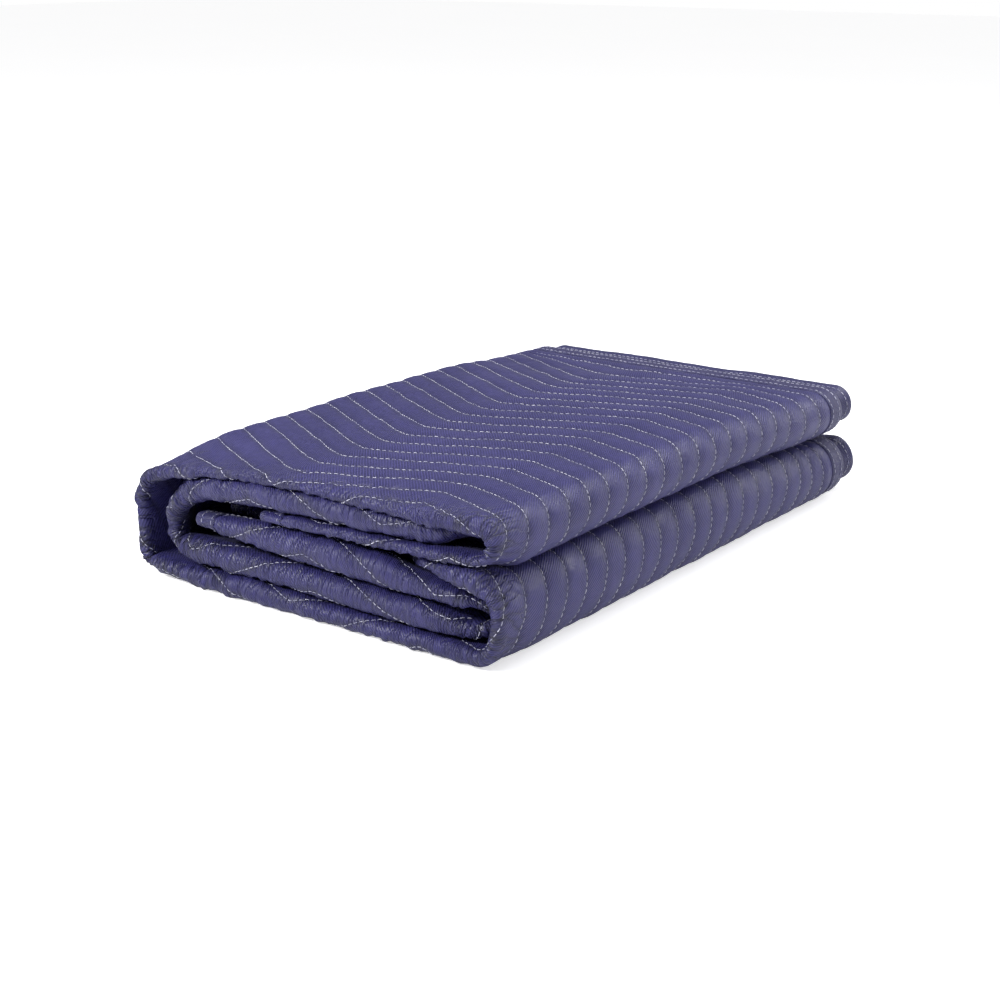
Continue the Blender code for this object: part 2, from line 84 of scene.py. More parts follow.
world = bpy.data.worlds.new("studio")
world.use_nodes = True
world_nodes, world_links = world.node_tree.nodes, world.node_tree.links
soft_fill = world_nodes["Background"]
soft_fill.inputs["Color"].default_value = (1.0, 1.0, 1.0, 1.0)
soft_fill.inputs["Strength"].default_value = 0.20
white_behind = world_nodes.new("ShaderNodeBackground")
white_behind.inputs["Color"].default_value = (1.0, 1.0, 1.0, 1.0)
seen_directly = world_nodes.new("ShaderNodeLightPath")
either = world_nodes.new("ShaderNodeMixShader")
world_links.new(seen_directly.outputs["Is Camera Ray"], either.inputs[0])
world_links.new(soft_fill.outputs[0], either.inputs[1])
world_links.new(white_behind.outputs[0], either.inputs[2])
world_links.new(either.outputs[0], world_nodes["World Output"].inputs["Surface"])
bpy.context.scene.world = world
bpy.context.scene.view_settings.view_transform = "Standard"

FLOOR_HALF = 8.0
FLOOR_LIFT = 0.55
floor_corners = [(x * FLOOR_HALF, y * FLOOR_HALF, 0.0) for x, y in ((-1, -1), (1, -1), (1, 1), (-1, 1))]
floor_mesh = bpy.data.meshes.new("floor")
floor_mesh.from_pydata(floor_corners, [], [(0, 1, 2, 3)])
floor = bpy.data.objects.new("floor", floor_mesh)
bpy.context.scene.collection.objects.link(floor)
floor_paint = bpy.data.materials.new("pale floor")
floor_paint.use_nodes = True
floor_nodes, floor_links = floor_paint.node_tree.nodes, floor_paint.node_tree.links
floor_shader = floor_nodes["Principled BSDF"]
floor_speckle = floor_nodes.new("ShaderNodeTexNoise")
floor_speckle.inputs["Scale"].default_value = 30.0
floor_ramp = floor_nodes.new("ShaderNodeValToRGB")
floor_ramp.color_ramp.elements[0].color = (0.86, 0.86, 0.87, 1.0)
floor_ramp.color_ramp.elements[1].color = (0.89, 0.89, 0.90, 1.0)
floor_links.new(floor_speckle.outputs["Fac"], floor_ramp.inputs["Fac"])
floor_links.new(floor_ramp.outputs["Color"], floor_shader.inputs["Base Color"])
floor_shader.inputs["Roughness"].default_value = 0.8
floor_shader.inputs["Emission Color"].default_value = (1.0, 1.0, 1.0, 1.0)
floor_seen = floor_nodes.new("ShaderNodeLightPath")
floor_lift = floor_nodes.new("ShaderNodeMath")
floor_lift.operation = "MULTIPLY"
floor_lift.inputs[1].default_value = FLOOR_LIFT
floor_links.new(floor_seen.outputs["Is Camera Ray"], floor_lift.inputs[0])
floor_links.new(floor_lift.outputs[0], floor_shader.inputs["Emission Strength"])
floor_mesh.materials.append(floor_paint)


# Face cloth of the pad
# One sheet of 1.83 x 1.02 m, folded back and forth in four plies along its long side; the strip's
# ends are turned in and the strip is doubled. A place on it is the distance along the strip and the
# distance across, from the folded edges, which the quilting lines follow in zigzags.
PACK_DEPTH = 0.306
NEAR_Y = -0.2285
PAD_HALF = 0.0016
PAD_PUFF = 0.0020
PAD_AT_SEAM = 0.0010
PAD_AT_TAPE = 0.0004
TURN_FULLNESS = 0.60
TURN_SWELL = math.radians(24)
TAPE_WIDTH = 0.018
PITCH_LOWER, PITCH_UPPER = 0.0054, 0.0044
LOWER_FOLD_RADIUS, UPPER_FOLD_RADIUS = 0.0116, 0.0102
FLAP_SPACE = 0.0052
SPINE_SHOULDER_RADIUS, SPINE_FOOT_RADIUS = 0.022, 0.014
TOP_FALL = 0.003
UPPER_FOLD_SET_IN = 0.004
UPPER_FLAP_END_X, LOWER_FLAP_END_X = -0.038, -0.096
OUTER_EDGE_REACH = 0.443
FAR_TURN_REACH = 0.430
INNER_EDGE_REACH = 0.4665
INNER_EDGE_FLARE, FLAP_FLARE = 2.3, 0.5
LIFT, LIFT_AT_END, LIFT_FROM_X, LIFT_TO_X, LIFT_FULL_Z = 0.0115, 0.30, -0.164, -0.122, 0.044
LIFT_FADE_DEPTH = 0.26
EDGE_HOLD, EDGE_END, TOP_EDGE_SLOPE = 0.010, 0.042, 0.042
LINE_SPACING, FIRST_LINE = 0.0216, 0.0405
ZIGZAG_SWING, ZIGZAG_HALF, ZIGZAG_PEAK_X, INNER_PEAK_X = 0.021, 0.109, 0.086, -0.045
ZIGZAG_FADE, SPINE_SWING = 0.360, 1.5
PLY_OFFSET = {1: 1.5, 2: 0.5, 3: -0.5, 4: -1.5}
PLY_SIDE = {1: 1.0, 2: -1.0, 3: 1.0, 4: -1.0}
PLY_ROLL = {1: "outer", 2: "outer", 3: "inner", 4: "inner"}

# Rolls along the folded edges, in millimetres: where their centres are on the near face, their
# radius to the middle of the pad, and how far they are set back.
ROLL_COLUMNS = ("outer_x", "outer_z", "outer_r", "outer_back",
                "inner_x", "inner_z", "inner_r", "inner_back")
ROLLS = (
    ("upper_flap", 0.00, -38, 61.6, 2.5, 1, -38, 68.0, 2.4, 34),
    ("upper_flap", 0.45, 38, 63.4, 2.1, 0, 38, 70.0, 2.2, 34),
    ("upper_flap", 0.80, 96, 65.0, 2.2, 0, 96, 71.0, 2.2, 34),
    ("upper_flap", 1.00, 127, 66.4, 2.4, 1, 124, 68.5, 2.4, 34),
    ("upper_fold", 0.25, 140.6, 70.4, 2.5, 2, 132.5, 70.0, 2.4, 32),
    ("upper_fold", 0.50, 144.8, 78.6, 2.6, 2, 135, 74.0, 2.4, 30),
    ("upper_fold", 0.75, 140.2, 86.2, 3.6, 2, 132.5, 78.0, 2.4, 26),
    ("top", 0.00, 127, 88.0, 3.6, 1, 124, 78.6, 2.4, 22),
    ("top", 0.14, 94, 86.8, 2.5, 0, 94, 76.5, 5.2, 4),
    ("top", 0.40, 28, 87.6, 1.9, 0, 28, 76.7, 6.3, 0),
    ("top", 0.65, -35, 87.0, 1.8, 0, -35, 75.2, 6.8, 0),
    ("top", 0.88, -94, 80.8, 2.0, 0, -94, 68.6, 6.6, 0),
    ("shoulder", 0.50, -143, 67.6, 2.6, 1, -116, 55.0, 4.6, 1),
    ("spine", 0.50, -151.6, 42.0, 2.6, 1, -123, 42.0, 4.4, 2),
    ("foot", 0.50, -147, 10.6, 2.6, 1, -117.5, 29.5, 3.4, 1),
    ("bottom", 0.10, -104, 6.6, 4.7, 0, -101, 25.4, 7.0, 0),
    ("bottom", 0.30, -52, 7.9, 6.0, 0, -52, 25.6, 6.6, 0),
    ("bottom", 0.58, 22, 6.8, 4.9, 0, 22, 24.2, 7.4, 0),
    ("bottom", 0.86, 94, 6.5, 4.6, 0, 94, 23.0, 6.8, 0),
    ("bottom", 1.00, 130, 6.1, 4.2, 0, 126, 20.0, 4.0, 7),
    ("lower_fold", 0.25, 143.6, 13.4, 2.8, 1, 133.2, 22.6, 2.7, 13),
    ("lower_fold", 0.50, 148.6, 31.0, 2.6, 2, 136.6, 30.2, 2.6, 18),
    ("lower_fold", 0.75, 143.0, 46.8, 3.2, 1, 132.6, 37.4, 2.6, 13),
    ("lower_flap", 0.00, 129, 53.6, 5.0, 0, 122, 39.6, 2.8, 4),
    ("lower_flap", 0.16, 94, 56.0, 2.4, 5, 94, 42.0, 5.0, 0),
    ("lower_flap", 0.24, 76, 56.2, 2.2, 18, 76, 43.2, 5.6, 0),
    ("lower_flap", 0.32, 58, 56.4, 2.2, 33, 58, 45.6, 7.6, 0),
    ("lower_flap", 0.42, 36, 56.2, 2.2, 34, 36, 46.4, 8.6, 0),
    ("lower_flap", 0.60, -5, 56.0, 2.2, 34, -5, 46.8, 8.4, 0),
    ("lower_flap", 0.90, -76, 51.0, 2.2, 34, -76, 47.4, 4.6, 1),
    ("lower_flap", 1.00, -96, 50.0, 2.2, 34, -96, 47.8, 4.0, 1),
)


def smooth(low, high, value):
    """Rise from 0 at low to 1 at high with no corner at either end."""
    share = np.clip((value - low) / (high - low), 0.0, 1.0)
    return share * share * (3 - 2 * share)


def straight_run(first, last):
    """A straight stretch of the strip's middle line: its reader and its length."""
    reach = math.dist(first, last)
    way = ((last[0] - first[0]) / reach, (last[1] - first[1]) / reach)

    def read(along):
        out = np.ones_like(along)
        return first[0] + way[0] * along, first[1] + way[1] * along, out * way[1], -out * way[0]

    return read, reach


def round_run(centre, radius, first_angle, last_angle):
    """A round stretch of the strip's middle line, counter-clockwise."""
    def read(along):
        angle = math.radians(first_angle) + along / radius
        out_x, out_z = np.cos(angle), np.sin(angle)
        return centre[0] + radius * out_x, centre[1] + radius * out_z, out_x, out_z

    return read, radius * math.radians(last_angle - first_angle)


def strip_runs():
    """The strip's middle line in the X-Z plane, from the upper flap's end to the lower flap's."""
    bottom = PAD_HALF + 1.5 * PITCH_LOWER
    lower = bottom + 2 * LOWER_FOLD_RADIUS
    upper = lower + 1.5 * PITCH_LOWER + FLAP_SPACE + 1.5 * PITCH_UPPER
    top = upper + 2 * UPPER_FOLD_RADIUS
    top_end = top - TOP_FALL
    spine_x = -PACK_DEPTH / 2 + PAD_HALF + 0.75 * (PITCH_LOWER + PITCH_UPPER)
    upper_x = PACK_DEPTH / 2 - UPPER_FOLD_SET_IN - PAD_HALF - 1.5 * PITCH_UPPER - UPPER_FOLD_RADIUS
    lower_x = PACK_DEPTH / 2 - PAD_HALF - 1.5 * PITCH_LOWER - LOWER_FOLD_RADIUS
    shoulder_x, foot_x = spine_x + SPINE_SHOULDER_RADIUS, spine_x + SPINE_FOOT_RADIUS
    shoulder_z, foot_z = top_end - SPINE_SHOULDER_RADIUS, bottom + SPINE_FOOT_RADIUS
    return (
        ("upper_flap", straight_run((UPPER_FLAP_END_X, upper), (upper_x, upper))),
        ("upper_fold", round_run((upper_x, upper + UPPER_FOLD_RADIUS), UPPER_FOLD_RADIUS, -90, 90)),
        ("top", straight_run((upper_x, top), (shoulder_x, top_end))),
        ("shoulder", round_run((shoulder_x, shoulder_z), SPINE_SHOULDER_RADIUS, 90, 180)),
        ("spine", straight_run((spine_x, shoulder_z), (spine_x, foot_z))),
        ("foot", round_run((foot_x, foot_z), SPINE_FOOT_RADIUS, 180, 270)),
        ("bottom", straight_run((foot_x, bottom), (lower_x, bottom))),
        ("lower_fold", round_run((lower_x, bottom + LOWER_FOLD_RADIUS), LOWER_FOLD_RADIUS, -90, 90)),
        ("lower_flap", straight_run((lower_x, lower), (LOWER_FLAP_END_X, lower))),
    )


RUNS = strip_runs()
RUN_START, STRIP_LENGTH = {}, 0.0
for run_name, (_, run_length) in RUNS:
    RUN_START[run_name] = STRIP_LENGTH
    STRIP_LENGTH += run_length
RUN_LENGTH = {run_name: run_length for run_name, (_, run_length) in RUNS}


def along_strip(run, share):
    """Distance along the strip at a share of a run."""
    return RUN_START[run] + share * RUN_LENGTH[run]


def strip_middle(along):
    """Middle point, outward direction and distance between plies, along the strip."""
    found = [np.zeros_like(along) for _ in range(4)]
    for name, (read, length) in RUNS:
        inside = (along >= RUN_START[name] - 1e-9) & (along <= RUN_START[name] + length + 1e-9)
        for values, there in zip(found, read(along - RUN_START[name])):
            values[inside] = there[inside]
    change = smooth(along_strip("top", 0.8), along_strip("bottom", 0.1), along)
    return (*found, PITCH_UPPER + (PITCH_LOWER - PITCH_UPPER) * change)


UPPER_FLAP_END, UPPER_FLAP_OUT = along_strip("upper_flap", 0.72), along_strip("upper_fold", 0.2)
LOWER_FLAP_IN, LOWER_FLAP_END = along_strip("lower_fold", 0.8), along_strip("lower_flap", 0.25)
ROLL_PLACES = np.array([along_strip(row[0], row[1]) for row in ROLLS])


def roll_value(column, along):
    """A column of the roll table along the strip, in metres, with no overshoot."""
    values = np.array([row[2 + ROLL_COLUMNS.index(column)] / 1000 for row in ROLLS])
    gaps = np.diff(ROLL_PLACES)
    slopes = np.diff(values) / gaps
    tangents = np.zeros(len(values))
    tangents[0], tangents[-1] = slopes[0], slopes[-1]
    same = slopes[:-1] * slopes[1:] > 0
    tangents[1:-1][same] = 2 * slopes[:-1][same] * slopes[1:][same] / (slopes[:-1][same] + slopes[1:][same])
    i = np.clip(np.searchsorted(ROLL_PLACES, along) - 1, 0, len(gaps) - 1)
    u = np.clip((along - ROLL_PLACES[i]) / gaps[i], 0.0, 1.0)
    rise = (2 * u ** 3 - 3 * u ** 2 + 1) * values[i] + (3 * u ** 2 - 2 * u ** 3) * values[i + 1]
    return rise + gaps[i] * ((u ** 3 - 2 * u ** 2 + u) * tangents[i] + (u ** 3 - u ** 2) * tangents[i + 1])


def strip_columns(along):
    """All that a set of places along the strip needs, as columns that broadcast over the rows."""
    along = np.asarray(along, float)
    x, z, out_x, out_z, pitch = strip_middle(along)
    col = {"along": along, "x": x, "z": z, "out_x": out_x, "out_z": out_z, "pitch": pitch}
    ahead, behind = np.minimum(along + 0.004, STRIP_LENGTH), np.maximum(along - 0.004, 0.0)
    for roll in ("outer", "inner"):
        way_x = roll_value(roll + "_x", ahead) - roll_value(roll + "_x", behind)
        way_z = roll_value(roll + "_z", ahead) - roll_value(roll + "_z", behind)
        reach = np.hypot(way_x, way_z)
        col[roll + "_out_x"], col[roll + "_out_z"] = way_z / reach, -way_x / reach
        for part in ("_x", "_z", "_r", "_back"):
            col[roll + part] = roll_value(roll + part, along)
    col = {key: value[:, None] for key, value in col.items()}
    for roll, (upper, lower) in (("outer", (1, 2)), ("inner", (3, 4))):
        back = col[roll + "_back"] + PAD_HALF
        guess = back + col[roll + "_r"]
        half = np.linalg.norm(ply_middle(col, upper, guess) - ply_middle(col, lower, guess), axis=2) / 2
        col[roll + "_half"] = half
        col[roll + "_start"] = back + half * (1 + math.sin(TURN_SWELL)) / math.cos(TURN_SWELL)
        col[roll + "_turn"] = half * (math.pi + 2 * TURN_SWELL) / math.cos(TURN_SWELL)
    return col


def ply_middle(col, ply, depth):
    """Middle of a ply's thickness, at each column and depth behind the folded edges."""
    offset = PLY_OFFSET[ply] * col["pitch"] + np.zeros_like(depth)
    if ply == 4:
        on_flap = (1 - smooth(UPPER_FLAP_END, UPPER_FLAP_OUT, col["along"]))
        on_flap = on_flap + smooth(LOWER_FLAP_IN, LOWER_FLAP_END, col["along"])
        flare = INNER_EDGE_FLARE + (FLAP_FLARE - INNER_EDGE_FLARE) * on_flap
        outward = smooth(INNER_EDGE_REACH - 1.6 * TAPE_WIDTH, INNER_EDGE_REACH, depth)
        offset = offset + flare * col["pitch"] * outward
    x = col["x"] + offset * col["out_x"]
    z = col["z"] + offset * col["out_z"]
    fading = 1 - (1 - LIFT_AT_END) * smooth(LIFT_FADE_DEPTH, OUTER_EDGE_REACH, depth)
    share = smooth(LIFT_FROM_X, LIFT_TO_X, x) * fading
    z = z + LIFT * share * np.clip((z - PAD_HALF) / (LIFT_FULL_Z - PAD_HALF), 0.0, 1.0)
    edge_end = EDGE_END
    if ply == 1:
        on_top = smooth(0.09, 0.02, col["x"]) * smooth(-0.170, -0.110, col["x"])
        on_top = on_top * smooth(0.050, 0.075, col["z"])
        edge_end = EDGE_END + TOP_EDGE_SLOPE * on_top
    hold = 1 - smooth(EDGE_HOLD, edge_end, depth)
    roll = PLY_ROLL[ply]
    radius = PLY_SIDE[ply] * col[roll + "_r"]
    x = x + (col[roll + "_x"] + radius * col[roll + "_out_x"] - x) * hold
    z = z + (col[roll + "_z"] + radius * col[roll + "_out_z"] - z) * hold
    if ply == 1:
        z = np.maximum(z, PAD_HALF)
    y = NEAR_Y + depth + np.zeros_like(x)
    return np.stack([x, y, z], axis=2)


def roll_middle(col, roll, across):
    """Middle of the pad where a roll's two plies and its turn pass: across is the depth behind the
    folded edges on the upper ply, and falls round the turn and on along the lower ply."""
    upper, lower = (1, 2) if roll == "outer" else (3, 4)
    start, turn, half = col[roll + "_start"], col[roll + "_turn"], col[roll + "_half"]
    first, last = ply_middle(col, lower, start), ply_middle(col, upper, start)
    share = np.clip(1 - 2 * (start - across) / turn, -1.0, 1.0)
    swing = (share * (math.pi / 2 + TURN_SWELL))[:, :, None]
    points = (first + last) / 2 + (last - first) / 2 * np.sin(swing) / math.cos(TURN_SWELL)
    points[:, :, 1] -= half * (np.cos(swing[:, :, 0]) / math.cos(TURN_SWELL) + math.tan(TURN_SWELL))
    above, below = across > start, across < start - turn
    points[above] = ply_middle(col, upper, np.maximum(across, start))[above]
    points[below] = ply_middle(col, lower, np.maximum(2 * start - turn - across, start))[below]
    points[:, :, 2] = np.maximum(points[:, :, 2], PAD_HALF)
    return points


def far_middle(col, angles):
    """Middle of the turn that joins plies 2 and 3 at the bound edges."""
    reach = np.full_like(col["x"], 0.4)
    half = np.linalg.norm(ply_middle(col, 2, reach) - ply_middle(col, 3, reach), axis=2) / 2
    depth = FAR_TURN_REACH - half
    first, last = ply_middle(col, 3, depth), ply_middle(col, 2, depth)
    swing = np.radians(np.asarray(angles, float))[None, :, None]
    points = (first + last) / 2 + (last - first) / 2 * np.sin(swing)
    points[:, :, 1] += half * np.cos(swing[:, :, 0])
    return points


# Length along the outermost ply, which sets where the zigzags turn
LENGTH_PLACES = np.linspace(0.0, STRIP_LENGTH, 540)
HALFWAY_IN = np.full((len(LENGTH_PLACES), 1), -NEAR_Y)
OUTERMOST = ply_middle(strip_columns(LENGTH_PLACES), 1, HALFWAY_IN)[:, 0]
LENGTHS = np.concatenate([[0.0], np.cumsum(np.linalg.norm(np.diff(OUTERMOST, axis=0), axis=1))])
TOP_START_X = dict(RUNS)["top"][0](np.zeros(1))[0][0]


def zigzag(along, peak_x):
    """Sideways swing of the quilting lines, from -1 to 1, with a peak at peak_x on the top."""
    peak = np.interp(RUN_START["top"] + TOP_START_X - peak_x, LENGTH_PLACES, LENGTHS)
    turns = (np.interp(along, LENGTH_PLACES, LENGTHS) - peak) / ZIGZAG_HALF
    wave = 1 - 2 * np.abs((turns + 1) % 2 - 1)
    wave = wave - 0.08 * np.sign(wave) * np.abs(wave) ** 6
    by_spine = (turns > 1) & (turns < 3) & (peak_x > 0)
    return np.where(by_spine, (wave + 1) * SPINE_SWING - 1, wave)


PEAKS = {"outer": ZIGZAG_PEAK_X, "inner": INNER_PEAK_X}


def swung(along, across, roll):
    """Where a quilting line, or a row beside it, runs: across plus the zigzag."""
    fade = 1 - smooth(ZIGZAG_FADE, OUTER_EDGE_REACH - TAPE_WIDTH, across)
    return across + fade * ZIGZAG_SWING * zigzag(along, PEAKS[roll])[:, None]


def lattice_noise(u, v, seed):
    """Smooth random heights from 0 to 1 over a square lattice."""
    values = np.random.default_rng(seed).random((128, 128))
    iu, iv = np.floor(u).astype(int), np.floor(v).astype(int)
    fu, fv = u - iu, v - iv
    fu, fv = fu * fu * (3 - 2 * fu), fv * fv * (3 - 2 * fv)
    a, b = values[iu % 128, iv % 128], values[(iu + 1) % 128, iv % 128]
    c, d = values[iu % 128, (iv + 1) % 128], values[(iu + 1) % 128, (iv + 1) % 128]
    return (a * (1 - fu) + b * fu) * (1 - fv) + (c * (1 - fu) + d * fu) * fv


def ridges(u, v, seed, sharp=3.0):
    """Thin raised ridges from 0 to 1 where the lattice heights cross their middle."""
    return (1 - np.abs(2 * lattice_noise(u, v, seed) - 1)) ** sharp


def hidden(along):
    """1 where the outermost ply is turned in between the flaps or lies on the base."""
    first = 1 - smooth(along_strip("upper_flap", 0.93), along_strip("upper_fold", 0.05), along)
    base = smooth(along_strip("foot", 0.6), along_strip("bottom", 0.02), along)
    base = base * (1 - smooth(along_strip("bottom", 0.97), along_strip("lower_fold", 0.1), along))
    last = smooth(along_strip("lower_fold", 0.97), along_strip("lower_flap", 0.06), along)
    return np.maximum(np.maximum(first, base), last)


def near_gather(col):
    """How much the cloth gathers into short creases at the folded edges: most at the bends."""
    along = col["along"]
    gather = np.zeros_like(along)
    for run, share, width in (("upper_fold", 0.5, 0.030), ("shoulder", 0.7, 0.040), ("spine", 0.8, 0.034),
                              ("foot", 0.8, 0.030), ("lower_fold", 0.5, 0.034), ("bottom", 0.05, 0.05)):
        gather = gather + np.exp(-((along - along_strip(run, share)) / width) ** 2)
    return np.minimum(gather, 1.0)


# Creases that the folding pressed in. Each row: roll, run of the strip, share of that run, place
# across, length, width, slant and depth, with the lengths in millimetres.
CREASES = (
    ("outer", "top", 0.30, 18, 26, 2.4, 0.9, 0.9),
    ("outer", "top", 0.44, 12, 18, 2.0, -0.7, 0.8),
    ("outer", "top", 0.57, 20, 22, 2.2, 1.2, 0.8),
    ("outer", "top", 0.72, 14, 20, 2.0, -1.0, 0.9),
    ("outer", "top", 0.86, 16, 24, 2.2, 0.8, 1.0),
    ("outer", "top", 0.12, 16, 20, 2.4, -0.9, 0.8),
    ("outer", "shoulder", 0.35, 20, 24, 2.4, 0.7, 0.9),
    ("outer", "lower_fold", 0.45, 26, 22, 2.2, 0.5, 0.8),
    ("outer", "lower_fold", 0.75, 14, 24, 2.4, -0.6, 1.0),
    ("outer", "upper_fold", 0.50, 24, 20, 2.2, 0.5, 0.8),
    ("inner", "top", 0.78, 4, 22, 1.8, 1.3, 1.1),
    ("inner", "top", 0.90, 2, 20, 1.8, -0.9, 1.2),
    ("inner", "top", 0.60, -2, 18, 1.8, 1.0, 0.9),
    ("inner", "top", 0.36, 2, 20, 1.8, -1.1, 0.9),
    ("inner", "lower_flap", 0.88, 2, 18, 1.6, 1.1, 1.2),
    ("inner", "lower_flap", 0.76, -4, 20, 1.8, -1.0, 1.1),
    ("inner", "lower_flap", 0.58, 2, 22, 1.8, 1.2, 1.0),
    ("inner", "lower_flap", 0.40, -2, 18, 1.8, 0.9, 1.0),
    ("inner", "lower_flap", 0.22, 2, 18, 1.8, -1.0, 1.0),
    ("inner", "bottom", 0.14, 0, 22, 1.8, 0.8, 1.2),
    ("inner", "bottom", 0.34, -2, 20, 1.8, -1.0, 1.0),
    ("inner", "bottom", 0.62, 2, 20, 1.8, 1.0, 1.0),
    ("outer", "bottom", 0.12, 0, 20, 1.8, 1.0, 1.1),
    ("outer", "bottom", 0.34, -4, 22, 2.0, -0.9, 1.0),
    ("outer", "bottom", 0.70, 0, 22, 2.0, 0.8, 1.0),
    ("outer", "upper_flap", 0.30, 0, 18, 1.6, 0.9, 0.8),
    ("outer", "upper_flap", 0.62, 0, 18, 1.6, -0.9, 0.8),
)


def pressed_creases(col, roll, across):
    """Depth of the pressed-in creases: soft troughs with a low ridge along one side."""
    depth = np.zeros_like(across)
    for which, run, share, place, length, width, slant, deep in CREASES:
        if which != roll:
            continue
        du = (col["along"] - along_strip(run, share)) * 1000
        dv = across * 1000 - place
        aside = (du - slant * dv * 0.6) / math.hypot(1, slant * 0.6)
        reach = np.exp(-(dv / length * 1.6) ** 2 - (du / (length * 1.2)) ** 2)
        wave = np.exp(-(aside / width) ** 2) - 0.55 * np.exp(-((aside - 1.9 * width) / width) ** 2)
        depth = depth + deep / 1000 * reach * wave
    return depth


def seam_distance(col, roll, across):
    """Distance across from the nearest quilting line, and that line's number."""
    line = (across - FIRST_LINE) / LINE_SPACING
    nearest = np.round(line)
    last = math.floor((OUTER_EDGE_REACH - TAPE_WIDTH - 0.008 - FIRST_LINE) / LINE_SPACING)
    nearest = np.minimum(nearest, last) if roll == "outer" else nearest
    return np.abs(line - nearest) * LINE_SPACING, nearest


SEAM_WIDTH, SEAM_SHARPNESS, HIDDEN_SEAM = 0.0026, 1.3, 0.25
WIDE_SWELL, SMALL_SWELL = 0.0012, 0.0009
CREASE_FLAT, CREASE_AT_EDGE, CREASE_AT_BEND = 0.0002, 0.0014, 0.0014
PUCKER_FLAT, PUCKER_AT_EDGE, PUCKER_REACH = 0.00055, 0.0005, 0.0050
THINNEST = 0.0004


def round_the_turn(col, roll, across):
    """1 where the cloth goes round a roll's turn, and how much of its fullness it keeps there."""
    start, turn = col[roll + "_start"], col[roll + "_turn"]
    on_turn = smooth(start + 0.004, start - 0.002, across)
    on_turn = on_turn * smooth(start - turn - 0.003, start - turn + 0.003, across)
    return on_turn, np.minimum(1.0, TURN_FULLNESS * col[roll + "_half"] / PAD_HALF)


def face_height(col, roll, row, across):
    """Height of the face cloth over the middle of the pad, at rows beside the quilting lines."""
    apart, number = seam_distance(col, roll, row + np.zeros_like(across))
    shown = 1 - hidden(col["along"])
    start, turn = col[roll + "_start"], col[roll + "_turn"]
    on_turn, tight = round_the_turn(col, roll, across)
    beyond = smooth(start - turn, start - turn - 0.012, across)
    is_outer = 1.0 if roll == "outer" else 0.0
    free = np.maximum(on_turn, is_outer * shown * (1 - beyond))
    edge = smooth(start + 0.030, start, across) * (1 - beyond)
    full = PAD_HALF + (PAD_PUFF - PAD_HALF) * free * is_outer
    full = full * (1 + (tight - 1) * on_turn)
    seam = np.exp(-(apart / SEAM_WIDTH) ** SEAM_SHARPNESS)
    height = full + (PAD_AT_SEAM - full) * seam * np.maximum(free, HIDDEN_SEAM)
    u, v = col["along"] * 1000, across * 1000
    gather = near_gather(col)
    wide = lattice_noise(u / 46 + 3, v / 40 + 5, 11) - 0.5
    mid = lattice_noise(u / 15 + 1, v / 19 + 2, 12) - 0.5
    left = ridges((u - 0.45 * v) / 8.0, (v + 0.45 * u) / 46 + 9, 13, 4.0) - 0.25
    right = ridges((u + 0.40 * v) / 9.5 + 4, (v - 0.40 * u) / 40 + 2, 15, 4.0) - 0.25
    height = height + free * (WIDE_SWELL * wide + SMALL_SWELL * mid)
    deep = CREASE_FLAT + (CREASE_AT_EDGE + CREASE_AT_BEND * gather) * edge
    height = height - free * deep * (0.7 * left + 0.7 * right)
    pucker = ridges(u / 6.4 + 7 * number, number * 3.7, 14, 2.0) - 0.4
    deep = PUCKER_FLAT + PUCKER_AT_EDGE * edge
    height = height - free * deep * pucker * np.exp(-apart / PUCKER_REACH)
    height = height - free * pressed_creases(col, roll, across)
    # The seam and gather masks go with the height: the cloth's material paints shade by them.
    return np.maximum(height, THINNEST), seam, free * edge * (0.45 + 0.55 * gather)


NO_EDGE_NEAR = 1.0


def at_tape(col, from_edge):
    """1 where the pad is pressed under a binding, at the strip's ends or at an edge along it."""
    from_end = np.minimum(col["along"], STRIP_LENGTH - col["along"])
    at_end = 1 - smooth(TAPE_WIDTH + 0.0008, TAPE_WIDTH + 0.006, from_end)
    at_edge = 1 - smooth(TAPE_WIDTH + 0.0008, TAPE_WIDTH + 0.006, from_edge)
    return np.maximum(at_end, at_edge)


def line_rows(first, last, steps):
    """Rows from first down to last that lie on the quilting lines and at steps beside them."""
    rows = []
    for k in range(-12, 22):
        line = FIRST_LINE + k * LINE_SPACING
        rows += [line + step for step in (FAR_STEPS if len(steps) > 6 and line > 0.07 else steps)]
    return np.array(sorted((row for row in rows if last < row < first), reverse=True))


# Rows of points beside each quilting line, fewer of them far back, and rows under the bindings
SEAM_STEPS = (0.0, 0.0009, 0.0023, 0.0056, 0.0108, 0.0160, 0.0193, 0.0207)
FAR_STEPS = (0.0, 0.0020, 0.0075, 0.0141, 0.0196)
OUTER_EDGE_ROWS = (0.443, 0.439, 0.434, 0.429, 0.425)
INNER_EDGE_ROWS = (0.430, 0.4379, 0.443, 0.447, 0.4515, INNER_EDGE_REACH)
OUTER_ROWS, INNER_ROWS, INNER_BEGIN = (0.4235, -0.072), (0.0558, -0.050), 0.056
HIDDEN_DEPTH = 0.15
FLAT_PLY = PAD_HALF * 0.85
FAR_ANGLES = (90, 54, 18, -18, -54, -90)


